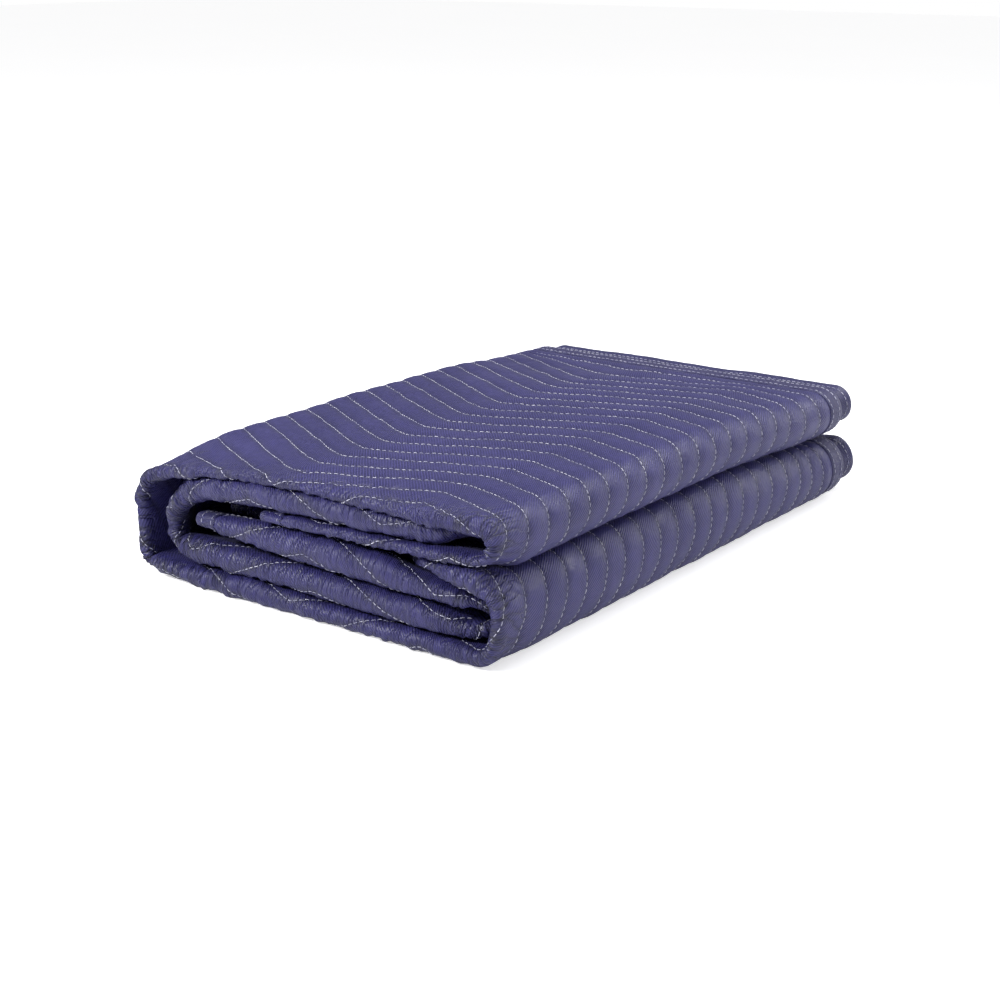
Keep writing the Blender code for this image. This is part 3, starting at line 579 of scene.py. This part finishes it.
def cloth_rows(col, steps, plain, thickness):
    """Every row of a cloth across the strip: middle points, height over them, and the seam and gather masks
    by which the material paints shade.

    The rows go from the outer bound edge over ply 1, its turn, plies 2 and 3, and the inner roll, to
    the inner bound edge."""
    n = len(col["along"])
    between_lines = FIRST_LINE + LINE_SPACING / 2
    parts = []

    def add_roll(roll, across, rows):
        height, seam, gather = thickness(col, roll, rows, across)
        parts.append((roll_middle(col, roll, across), height, seam, across, gather))

    def add_ply(ply, depth):
        depth = np.broadcast_to(np.asarray(depth, float), (n, len(depth))) + 0.0
        flat, none = np.full(depth.shape, FLAT_PLY), np.zeros(depth.shape)
        parts.append((ply_middle(col, ply, depth), flat, none, depth, none))

    rows = np.concatenate([OUTER_EDGE_ROWS, line_rows(*OUTER_ROWS, steps)])
    add_roll("outer", swung(col["along"][:, 0], rows, "outer"), rows)
    begin = swung(col["along"][:, 0], np.array([rows[-1]]), "outer")
    end = 2 * col["outer_start"] - col["outer_turn"] - HIDDEN_DEPTH
    shares = np.linspace(0, 1, 8)[None, 1:]
    across = begin + (end - begin) * shares
    add_roll("outer", across, np.full(across.shape, between_lines))
    add_ply(2, plain)
    turn_shape = (n, len(FAR_ANGLES))
    flat, none = np.full(turn_shape, FLAT_PLY), np.zeros(turn_shape)
    parts.append((far_middle(col, FAR_ANGLES), flat, none, none, none))
    add_ply(3, plain[::-1])
    begin = swung(col["along"][:, 0], np.array([INNER_BEGIN]), "inner")
    across = HIDDEN_DEPTH + (begin - HIDDEN_DEPTH) * np.linspace(0, 1, 6)[None, :-1]
    add_roll("inner", across, np.full(across.shape, between_lines))
    rows = line_rows(*INNER_ROWS, steps)
    add_roll("inner", swung(col["along"][:, 0], rows, "inner"), rows)
    begin = swung(col["along"][:, 0], np.array([rows[-1]]), "inner")
    end = 2 * col["inner_start"] - col["inner_turn"] - HIDDEN_DEPTH
    across = begin + (end - begin) * np.linspace(0, 1, 8)[None, 1:]
    add_roll("inner", across, np.full(across.shape, between_lines))
    add_ply(4, np.concatenate([plain, INNER_EDGE_ROWS]))
    middle, height, seam, across, gather = (np.concatenate(kind, axis=1) for kind in zip(*parts))
    edges = np.full(across.shape, NO_EDGE_NEAR)
    count = parts[0][3].shape[1]
    edges[:, :count] = OUTER_EDGE_REACH - parts[0][3]
    last = parts[-1][3].shape[1]
    edges[:, -last:] = INNER_EDGE_REACH - parts[-1][3]
    press = at_tape(col, edges)
    height = height + (PAD_AT_TAPE - height) * press
    return middle, height, {"seam": seam * (1 - press), "gather": gather * (1 - press)}


def grid_normals(points):
    """Direction out of a grid of points, towards the face cloth."""
    along, across = np.gradient(points, axis=0), np.gradient(points, axis=1)
    normal = np.cross(along, across)
    return normal / np.maximum(np.linalg.norm(normal, axis=2, keepdims=True), 1e-12)


def grid_mesh(name, points, marks=None):
    """A sheet of quads through a grid of points, with its own flat coordinates in metres."""
    n, m = points.shape[:2]
    index = np.arange(n * m).reshape(n, m)
    quads = np.stack([index[:-1, :-1], index[1:, :-1], index[1:, 1:], index[:-1, 1:]], axis=2)
    quads = quads.reshape(-1, 4)
    mesh = bpy.data.meshes.new(name)
    mesh.vertices.add(n * m)
    mesh.vertices.foreach_set("co", points.reshape(-1).astype(np.float32))
    mesh.loops.add(len(quads) * 4)
    mesh.loops.foreach_set("vertex_index", quads.reshape(-1).astype(np.int32))
    mesh.polygons.add(len(quads))
    mesh.polygons.foreach_set("loop_start", np.arange(0, len(quads) * 4, 4, dtype=np.int32))
    mesh.update(calc_edges=True)
    mesh.polygons.foreach_set("use_smooth", np.ones(len(quads), dtype=bool))
    steps_u = np.linalg.norm(np.diff(points, axis=0), axis=2).mean(axis=1)
    steps_v = np.linalg.norm(np.diff(points, axis=1), axis=2).mean(axis=0)
    u = np.concatenate([[0.0], np.cumsum(steps_u)])
    v = np.concatenate([[0.0], np.cumsum(steps_v)])
    flat = np.stack(np.broadcast_arrays(u[:, None], v[None, :]), axis=2).reshape(-1, 2)
    layer = mesh.uv_layers.new(name="cloth")
    layer.data.foreach_set("uv", flat[quads.reshape(-1)].reshape(-1).astype(np.float32))
    for mark, values in (marks or {}).items():
        layer = mesh.attributes.new(mark, "FLOAT", "POINT")
        layer.data.foreach_set("value", values.reshape(-1).astype(np.float32))
    mesh.validate()
    piece = bpy.data.objects.new(name, mesh)
    bpy.context.scene.collection.objects.link(piece)
    return piece


def strip_places(steps):
    """Places along the strip: close together where the cloth shows, wider where it is hidden."""
    places = [0.0, 0.006, 0.012, TAPE_WIDTH, TAPE_WIDTH + 0.003, TAPE_WIDTH + 0.006]
    for name, step in steps:
        first, length = RUN_START[name], RUN_LENGTH[name]
        first = max(first, TAPE_WIDTH + 0.006)
        last = min(RUN_START[name] + length, STRIP_LENGTH - TAPE_WIDTH - 0.006)
        count = max(2, round((last - first) / step))
        places += list(np.linspace(first, last, count + 1)[1:])
    places += [STRIP_LENGTH - TAPE_WIDTH - 0.003, STRIP_LENGTH - TAPE_WIDTH, STRIP_LENGTH - 0.012,
               STRIP_LENGTH - 0.006, STRIP_LENGTH]
    return np.array(sorted(set(places)))


FACE_STEPS = (("upper_flap", 0.0041), ("upper_fold", 0.0017), ("top", 0.0022), ("shoulder", 0.0018),
              ("spine", 0.0018), ("foot", 0.0016), ("bottom", 0.0037), ("lower_fold", 0.0017),
              ("lower_flap", 0.0032))
face_columns = strip_columns(strip_places(FACE_STEPS))
PLAIN_DEPTHS = np.array([0.19, 0.25, 0.33, 0.395])
face_middle, face_up, face_marks = cloth_rows(face_columns, SEAM_STEPS, PLAIN_DEPTHS, face_height)
face_points = face_middle + grid_normals(face_middle) * face_up[:, :, None]
face_points[:, :, 2] = np.maximum(face_points[:, :, 2], 0.0002)
face_cloth = grid_mesh("face_cloth", face_points, face_marks)


def cloth_group():
    """Woven cloth as a node group: thread colours and fine relief of a dull twill, from flat
    coordinates in metres. Its colour also holds painted shade: darker at the quilting seams and
    in the crease lines, where shade falls."""
    group = bpy.data.node_groups.new("woven cloth", "ShaderNodeTree")
    face = group.interface
    for name in ("Colour", "Painted Shade Colour", "Light Colour"):
        face.new_socket(name, in_out="INPUT", socket_type="NodeSocketColor")
    for name in ("Twill Spacing", "Relief", "Seam", "Gather"):
        face.new_socket(name, in_out="INPUT", socket_type="NodeSocketFloat")
    face.new_socket("Colour", in_out="OUTPUT", socket_type="NodeSocketColor")
    for name in ("Roughness", "Height"):
        face.new_socket(name, in_out="OUTPUT", socket_type="NodeSocketFloat")
    nodes, links = group.nodes, group.links
    given = nodes.new("NodeGroupInput")
    put = nodes.new("NodeGroupOutput")
    flat = nodes.new("ShaderNodeUVMap")
    flat.uv_map = "cloth"

    def math_node(kind, *values):
        node = nodes.new("ShaderNodeMath")
        node.operation = kind
        for socket, value in zip(node.inputs, values):
            if isinstance(value, (int, float)):
                socket.default_value = value
            else:
                links.new(value, socket)
        return node.outputs[0]

    def noise(scale, detail, stretch=(1.0, 1.0, 1.0), turn=0.0):
        place = nodes.new("ShaderNodeMapping")
        place.inputs["Scale"].default_value = stretch
        place.inputs["Rotation"].default_value = (0.0, 0.0, turn)
        links.new(flat.outputs["UV"], place.inputs["Vector"])
        node = nodes.new("ShaderNodeTexNoise")
        node.inputs["Scale"].default_value = scale
        node.inputs["Detail"].default_value = detail
        links.new(place.outputs["Vector"], node.inputs["Vector"])
        return node.outputs["Fac"]

    def mix(factor, first, second):
        node = nodes.new("ShaderNodeMix")
        node.data_type = "RGBA"
        links.new(factor, node.inputs[0])
        links.new(first, node.inputs[6])
        links.new(second, node.inputs[7])
        return node.outputs[2]

    split = nodes.new("ShaderNodeSeparateXYZ")
    links.new(flat.outputs["UV"], split.inputs[0])
    wander = math_node("MULTIPLY", noise(160.0, 2.0), 0.0011)
    slant = math_node("MULTIPLY", split.outputs[0], 0.82)
    slant = math_node("ADD", slant, math_node("MULTIPLY", split.outputs[1], 0.57))
    turns = math_node("DIVIDE", math_node("ADD", slant, wander), given.outputs["Twill Spacing"])
    wave = math_node("SINE", math_node("MULTIPLY", turns, 2 * math.pi))
    twill = math_node("MULTIPLY_ADD", wave, 0.5, 0.5)
    strength = math_node("MULTIPLY_ADD", noise(55.0, 2.0), 2.2, -0.35)
    broken = math_node("MULTIPLY", math_node("SUBTRACT", twill, 0.5), strength)
    patch = noise(16.0, 3.0)
    mottle = noise(210.0, 3.0)

    def creases(scale, turn, sharp):
        fold = math_node("MULTIPLY_ADD", noise(scale, 1.0, (1.0, 0.22, 1.0), turn), 2.0, -1.0)
        return math_node("POWER", math_node("SUBTRACT", 1.0, math_node("ABSOLUTE", fold)), sharp)

    # Crease lines: grooves in the relief, and painted shade in the colour; stronger where the cloth
    # gathers.
    crease = math_node("MAXIMUM", creases(120.0, 0.42, 13.0), creases(150.0, -0.38, 13.0))
    crease = math_node("MULTIPLY", crease, math_node("MULTIPLY_ADD", given.outputs["Gather"], 1.0, 0.12))
    tone = math_node("ADD", math_node("MULTIPLY", patch, 0.7), math_node("MULTIPLY", mottle, 0.8))
    tone = math_node("ADD", tone, math_node("MULTIPLY", broken, 1.15))
    bright = nodes.new("ShaderNodeClamp")
    links.new(math_node("SUBTRACT", tone, 0.42), bright.inputs[0])
    lighter = mix(bright.outputs[0], given.outputs["Colour"], given.outputs["Light Colour"])
    # Painted shade: the colour is mixed towards the dark shade colour near the quilting seams and in the
    # crease lines.
    deep = math_node("MULTIPLY_ADD", given.outputs["Seam"], 0.50, math_node("MULTIPLY", crease, 0.52))
    links.new(mix(deep, lighter, given.outputs["Painted Shade Colour"]), put.inputs["Colour"])
    links.new(math_node("MULTIPLY_ADD", mottle, 0.20, 0.36), put.inputs["Roughness"])
    relief = math_node("ADD", math_node("MULTIPLY", broken, 0.8), math_node("MULTIPLY", mottle, 0.5))
    relief = math_node("ADD", relief, math_node("MULTIPLY", crease, -3.2))
    links.new(math_node("MULTIPLY", relief, given.outputs["Relief"]), put.inputs["Height"])
    return group


WOVEN_CLOTH = cloth_group()


def woven_material(name, colour, painted_shade, light, spacing, relief, seamed):
    """A cloth material from the woven cloth group, with a faint sheen. Its third colour is painted shade
    for the seams and creases.
    """
    made = bpy.data.materials.new(name)
    made.use_nodes = True
    nodes, links = made.node_tree.nodes, made.node_tree.links
    shader = nodes["Principled BSDF"]
    weave = nodes.new("ShaderNodeGroup")
    weave.node_tree = WOVEN_CLOTH
    weave.inputs["Colour"].default_value = (*colour, 1.0)
    weave.inputs["Painted Shade Colour"].default_value = (*painted_shade, 1.0)
    weave.inputs["Light Colour"].default_value = (*light, 1.0)
    weave.inputs["Twill Spacing"].default_value = spacing
    weave.inputs["Relief"].default_value = relief
    for socket, attribute in (("Seam", "seam"), ("Gather", "gather")) if seamed else ():
        mark = nodes.new("ShaderNodeAttribute")
        mark.attribute_name = attribute
        links.new(mark.outputs["Fac"], weave.inputs[socket])
    bump = nodes.new("ShaderNodeBump")
    bump.inputs["Distance"].default_value = 0.0009
    bump.inputs["Strength"].default_value = 0.8
    links.new(weave.outputs["Height"], bump.inputs["Height"])
    links.new(weave.outputs["Colour"], shader.inputs["Base Color"])
    links.new(weave.outputs["Roughness"], shader.inputs["Roughness"])
    links.new(bump.outputs["Normal"], shader.inputs["Normal"])
    shader.inputs["Sheen Weight"].default_value = 0.06
    shader.inputs["Sheen Roughness"].default_value = 0.45
    shader.inputs["Sheen Tint"].default_value = (0.72, 0.72, 0.95, 1.0)
    shader.inputs["Specular IOR Level"].default_value = 0.50
    return made


# Face cloth colours: its own violet, a lighter violet for the random tone and twill, and a dark violet
# painted as shade at the seams and creases.
VIOLET_BLUE = (0.0108, 0.0096, 0.080)
VIOLET_PAINTED_SHADE = (0.005, 0.005, 0.018)
VIOLET_LIGHT = (0.050, 0.045, 0.182)
face_cloth.data.materials.append(
    woven_material("violet quilted cloth", VIOLET_BLUE, VIOLET_PAINTED_SHADE, VIOLET_LIGHT, 0.00155, 0.50, True))
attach(face_cloth, "root")
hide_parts("quilted_pad")


# Back cloth of the pad
# The same cut of plainer cloth on the pad's other side. It shows only in the turns between the
# plies at the bound edges, so its rows are wide apart.
BACK_STEPS = tuple((run_name, step * 2.6) for run_name, step in FACE_STEPS)
BACK_ROWS = (0.0, 0.0108)


def back_height(col, roll, row, across):
    """Depth of the back cloth under the middle of the pad. It takes the same values as face_height,
    and has no seam or gather of its own."""
    on_turn, tight = round_the_turn(col, roll, across)
    none = np.zeros_like(across)
    return PAD_HALF * (0.6 + 0.3 * (tight - 1) * on_turn), none, none


back_columns = strip_columns(strip_places(BACK_STEPS))
back_middle, back_down, _ = cloth_rows(back_columns, BACK_ROWS, PLAIN_DEPTHS, back_height)
back_points = back_middle - grid_normals(back_middle) * back_down[:, :, None]
back_points[:, :, 2] = np.maximum(back_points[:, :, 2], 0.0004)
back_cloth = grid_mesh("back_cloth", back_points[:, ::-1])
BACK_VIOLET, BACK_LIGHT = (0.018, 0.017, 0.070), (0.045, 0.043, 0.120)
# The backing cloth takes the face cloth's dark violet as painted shade in its crease lines.
back_cloth.data.materials.append(
    woven_material("violet backing cloth", BACK_VIOLET, VIOLET_PAINTED_SHADE, BACK_LIGHT, 0.0012, 0.35, False))
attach(back_cloth, "root")


# Bindings
# A woven tape folded over each raw edge and sewn through with two rows of stitches: one on each of
# the blanket's short edges, all along the strip, and one on each long edge, across a turned-in end
# and through its plies. The section gives each point's reach in from the edge and its height.
TAPE_HALF_SECTION = ((0.0180, 0.00062), (0.0148, 0.00084), (0.0095, 0.00104), (0.0045, 0.00084),
                     (0.0010, 0.00086), (-0.0003, 0.00050))
TAPE_NOSE = ((-0.0006, 0.0),)
TAPE_UNDERSIDE = tuple((reach, -height) for reach, height in reversed(TAPE_HALF_SECTION))
TAPE_SECTION = TAPE_HALF_SECTION + TAPE_NOSE + TAPE_UNDERSIDE
SEWN_ROWS = (1, 3, 9, 11)


def tape_grid(edge, inner, seed):
    """Points of a tape folded over an edge, from the line of the edge and the line at its width in."""
    inward = inner - edge
    inward /= np.linalg.norm(inward, axis=1, keepdims=True)
    run_edge, run_inner = np.gradient(edge, axis=0), np.gradient(inner, axis=0)
    length = np.concatenate([[0.0], np.cumsum(np.linalg.norm(np.diff(edge, axis=0), axis=1))]) * 1000
    grid = []
    for i, (reach, height) in enumerate(TAPE_SECTION):
        share = min(max(reach / TAPE_WIDTH, 0.0), 1.0)
        up = np.cross(inward, run_edge * (1 - share) + run_inner * share)
        up /= np.maximum(np.linalg.norm(up, axis=1, keepdims=True), 1e-12)
        ripple = 1 + 0.55 * (lattice_noise(length / 6 + 3 * i, np.full_like(length, 2.0 * i), seed) - 0.45)
        wander = 0.0024 * (lattice_noise(length / 24, np.zeros_like(length), seed + 1) - 0.5) * (1 - share)
        base = edge * (1 - share) + inner * share + inward * (min(reach, 0.0) + wander)[:, None]
        grid.append(base + up * (height * ripple)[:, None])
    return np.stack(grid, axis=1)


def add_tape(name, grid, node):
    """One binding: its mesh, its cloth and the solid that it stands for."""
    tape = grid_mesh(name, grid)
    body = tape.modifiers.new("tape thickness", "SOLIDIFY")
    body.thickness = 0.00045
    body.offset = 0.0
    tape.data.materials.append(TAPE_CLOTH)
    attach(tape, "root")
    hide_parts(node)
    return tape


# The tape's colours: its own violet, a lighter violet for the random tone, and a dark violet painted as
# shade in its crease lines.
TAPE_VIOLET, TAPE_PAINTED_SHADE, TAPE_LIGHT = (0.016, 0.015, 0.072), (0.004, 0.004, 0.014), (0.046, 0.043, 0.140)
TAPE_CLOTH = woven_material("dark violet tape", TAPE_VIOLET, TAPE_PAINTED_SHADE, TAPE_LIGHT, 0.0011, 0.6, False)
TAPE_STEPS = tuple((run_name, min(step, 0.0034)) for run_name, step in FACE_STEPS)
tape_places = strip_columns(strip_places(TAPE_STEPS))
edge_lines = {}
for tape_name, ply, reach in (("outer", 1, OUTER_EDGE_REACH), ("inner", 4, INNER_EDGE_REACH)):
    depths = np.full((len(tape_places["along"]), 1), reach)
    edge_lines[tape_name] = (ply_middle(tape_places, ply, depths)[:, 0],
                             ply_middle(tape_places, ply, depths - TAPE_WIDTH)[:, 0])
outer_grid = tape_grid(*edge_lines["outer"], 31)
outer_grid[:, :, 2] = np.maximum(outer_grid[:, :, 2], 0.0003)
inner_grid = tape_grid(*edge_lines["inner"], 33)
binding_outer = add_tape("outer_edge_tape", outer_grid, "binding_outer_edge")
binding_inner = add_tape("inner_edge_tape", inner_grid, "binding_inner_edge")

end_lines = {}
for tape_name, edge_and_inner in (("upper", (0.0, TAPE_WIDTH)),
                                  ("lower", (STRIP_LENGTH, STRIP_LENGTH - TAPE_WIDTH))):
    two = strip_columns(edge_and_inner)
    rows, _, _ = cloth_rows(two, SEAM_STEPS, PLAIN_DEPTHS, back_height)
    count = rows.shape[1]
    keep = slice(6, count - 5)
    end_lines[tape_name] = (rows[0, keep], rows[1, keep])
end_grids = {"upper": tape_grid(*end_lines["upper"], 35), "lower": tape_grid(*end_lines["lower"], 37)}
binding_upper = add_tape("upper_end_tape", end_grids["upper"], "binding_upper_end")
binding_lower = add_tape("lower_end_tape", end_grids["lower"], "binding_lower_end")


# Thread
# Pale polyester lockstitch: zigzag quilting lines through the whole pad and two straight rows along
# every binding. Each stitch is a short length of thread that dips into the cloth at both ends. None
# is made where it is hidden: on the base, between the flaps and deep in the end bindings.
STITCH_PITCH = 0.0043
STITCH_LENGTH = 0.0033
STITCH_RINGS, STITCH_SIDES = 5, 4
THREAD_HALF = 0.00028
THREAD_OVER_TAPE = 0.0002
END_STITCHES_REACH = 0.05


def face_surface(along, across, row, roll):
    """Points and directions of the face cloth at places along and across a roll's plies."""
    step = 0.0006
    col = strip_columns(along)
    middle = roll_middle(col, roll, across)
    ahead = roll_middle(strip_columns(np.minimum(along + step, STRIP_LENGTH)), roll, across)
    behind = roll_middle(strip_columns(np.maximum(along - step, 0.0)), roll, across)
    further = roll_middle(col, roll, across - step) - roll_middle(col, roll, across + step)
    normal = np.cross(ahead - behind, further)
    normal /= np.maximum(np.linalg.norm(normal, axis=2, keepdims=True), 1e-12)
    height = face_height(col, roll, row, across)[0]
    return middle, normal, height, col


def stitches_along(points, normals, shown):
    """Corners of the stitches laid along a line on the cloth, where the line shows."""
    pitch, length, half = STITCH_PITCH, STITCH_LENGTH, THREAD_HALF
    reach = np.concatenate([[0.0], np.cumsum(np.linalg.norm(np.diff(points, axis=0), axis=1))])
    found = []
    for first in np.arange(pitch * 0.3, reach[-1] - length, pitch):
        if np.interp(first + length / 2, reach, shown) < 0.5:
            continue
        spots = first + length * np.array([0.0, 0.18, 0.5, 0.82, 1.0])
        middle = np.stack([np.interp(spots, reach, points[:, k]) for k in range(3)], axis=1)
        up = np.stack([np.interp(spots, reach, normals[:, k]) for k in range(3)], axis=1)
        way = middle[-1] - middle[0]
        if np.linalg.norm(way) < 0.5 * length:
            continue
        side = np.cross(up, way / np.linalg.norm(way))
        side /= np.maximum(np.linalg.norm(side, axis=1, keepdims=True), 1e-12)
        wide = half * np.array([0.45, 0.95, 1.0, 0.95, 0.45])[:, None]
        lift = half * np.array([-0.7, 0.75, 1.1, 0.75, -0.7])[:, None]
        centre = middle + up * lift
        found.append(np.stack([centre + side * wide, centre + up * wide * 0.8, centre - side * wide,
                               centre - up * wide * 0.8], axis=1))
    return found


def stitch_mesh(name, stitches):
    """One mesh of many closed stitches."""
    corners = np.concatenate([stitch.reshape(-1, 3) for stitch in stitches])
    corners[:, 2] = np.maximum(corners[:, 2], 0.0001)
    faces = []
    for k in range(len(stitches)):
        base = STITCH_RINGS * STITCH_SIDES * k
        last = base + (STITCH_RINGS - 1) * STITCH_SIDES
        for ring in range(base, last, STITCH_SIDES):
            for i in range(STITCH_SIDES):
                j = (i + 1) % STITCH_SIDES
                faces.append((ring + i, ring + STITCH_SIDES + i, ring + STITCH_SIDES + j, ring + j))
        faces.append(tuple(range(base, base + STITCH_SIDES)))
        faces.append(tuple(range(last + STITCH_SIDES - 1, last - 1, -1)))
    mesh = bpy.data.meshes.new(name)
    mesh.from_pydata(corners.tolist(), [], faces)
    mesh.polygons.foreach_set("use_smooth", np.ones(len(faces), dtype=bool))
    mesh.update()
    piece = bpy.data.objects.new(name, mesh)
    bpy.context.scene.collection.objects.link(piece)
    return piece


quilting = []
line_places = np.arange(0.0005, STRIP_LENGTH, 0.0015)
for roll, first, last in (("outer", -6, 17), ("inner", -5, 2)):
    lines = FIRST_LINE + LINE_SPACING * np.arange(first, last + 1)
    across = swung(line_places, lines, roll)
    rows = np.broadcast_to(lines, across.shape)
    middle, normal, height, col = face_surface(line_places, across, rows, roll)
    start, turn = col[roll + "_start"], col[roll + "_turn"]
    tape = at_tape(col, OUTER_EDGE_REACH - across if roll == "outer" else NO_EDGE_NEAR)
    height = height + (PAD_AT_TAPE - height) * tape
    surface = middle + normal * height[:, :, None]
    surface[:, :, 2] = np.maximum(surface[:, :, 2], 0.0004)
    past_turn = across < start - turn - 0.003
    deep = across > np.where(hidden(col["along"]) > 0.5, start + 0.004, 1.0)
    if roll == "inner":
        deep = across > start + 0.008
    shown = np.where(past_turn | deep | (tape > 0.5), 0.0, 1.0)
    for k in range(len(lines)):
        quilting += stitches_along(surface[:, k], normal[:, k], shown[:, k])
quilting_thread = stitch_mesh("quilting_thread", quilting)

tape_stitches = []
for grid in (outer_grid, inner_grid, end_grids["upper"], end_grids["lower"]):
    normals = grid_normals(grid)
    bound_edge = grid is outer_grid or grid is inner_grid
    nose = grid[:, len(TAPE_HALF_SECTION)]
    near = np.where(nose[:, 1] < NEAR_Y + END_STITCHES_REACH, 1.0, 1.0 if bound_edge else 0.0)
    for k in SEWN_ROWS:
        sewn = grid[:, k] + normals[:, k] * THREAD_OVER_TAPE
        tape_stitches += stitches_along(sewn, normals[:, k], near)
tape_thread = stitch_mesh("binding_thread", tape_stitches)


def thread_material():
    """Pale lavender polyester thread, with a faint twist and uneven dye."""
    made = bpy.data.materials.new("pale thread")
    made.use_nodes = True
    nodes, links = made.node_tree.nodes, made.node_tree.links
    shader = nodes["Principled BSDF"]
    place = nodes.new("ShaderNodeTexCoord")
    dye = nodes.new("ShaderNodeTexNoise")
    dye.inputs["Scale"].default_value = 160.0
    ramp = nodes.new("ShaderNodeValToRGB")
    ramp.color_ramp.elements[0].position = 0.35
    ramp.color_ramp.elements[0].color = (0.28, 0.28, 0.44, 1.0)
    ramp.color_ramp.elements[1].position = 0.62
    ramp.color_ramp.elements[1].color = (0.66, 0.66, 0.79, 1.0)
    twist = nodes.new("ShaderNodeTexWave")
    twist.inputs["Scale"].default_value = 1400.0
    bump = nodes.new("ShaderNodeBump")
    bump.inputs["Distance"].default_value = 0.0002
    bump.inputs["Strength"].default_value = 0.5
    links.new(place.outputs["Object"], dye.inputs["Vector"])
    links.new(place.outputs["Object"], twist.inputs["Vector"])
    links.new(dye.outputs["Fac"], ramp.inputs["Fac"])
    links.new(ramp.outputs["Color"], shader.inputs["Base Color"])
    links.new(twist.outputs["Fac"], bump.inputs["Height"])
    links.new(bump.outputs["Normal"], shader.inputs["Normal"])
    shader.inputs["Roughness"].default_value = 0.55
    return made


THREAD = thread_material()
for piece in (quilting_thread, tape_thread):
    piece.data.materials.append(THREAD)
    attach(piece, "root")
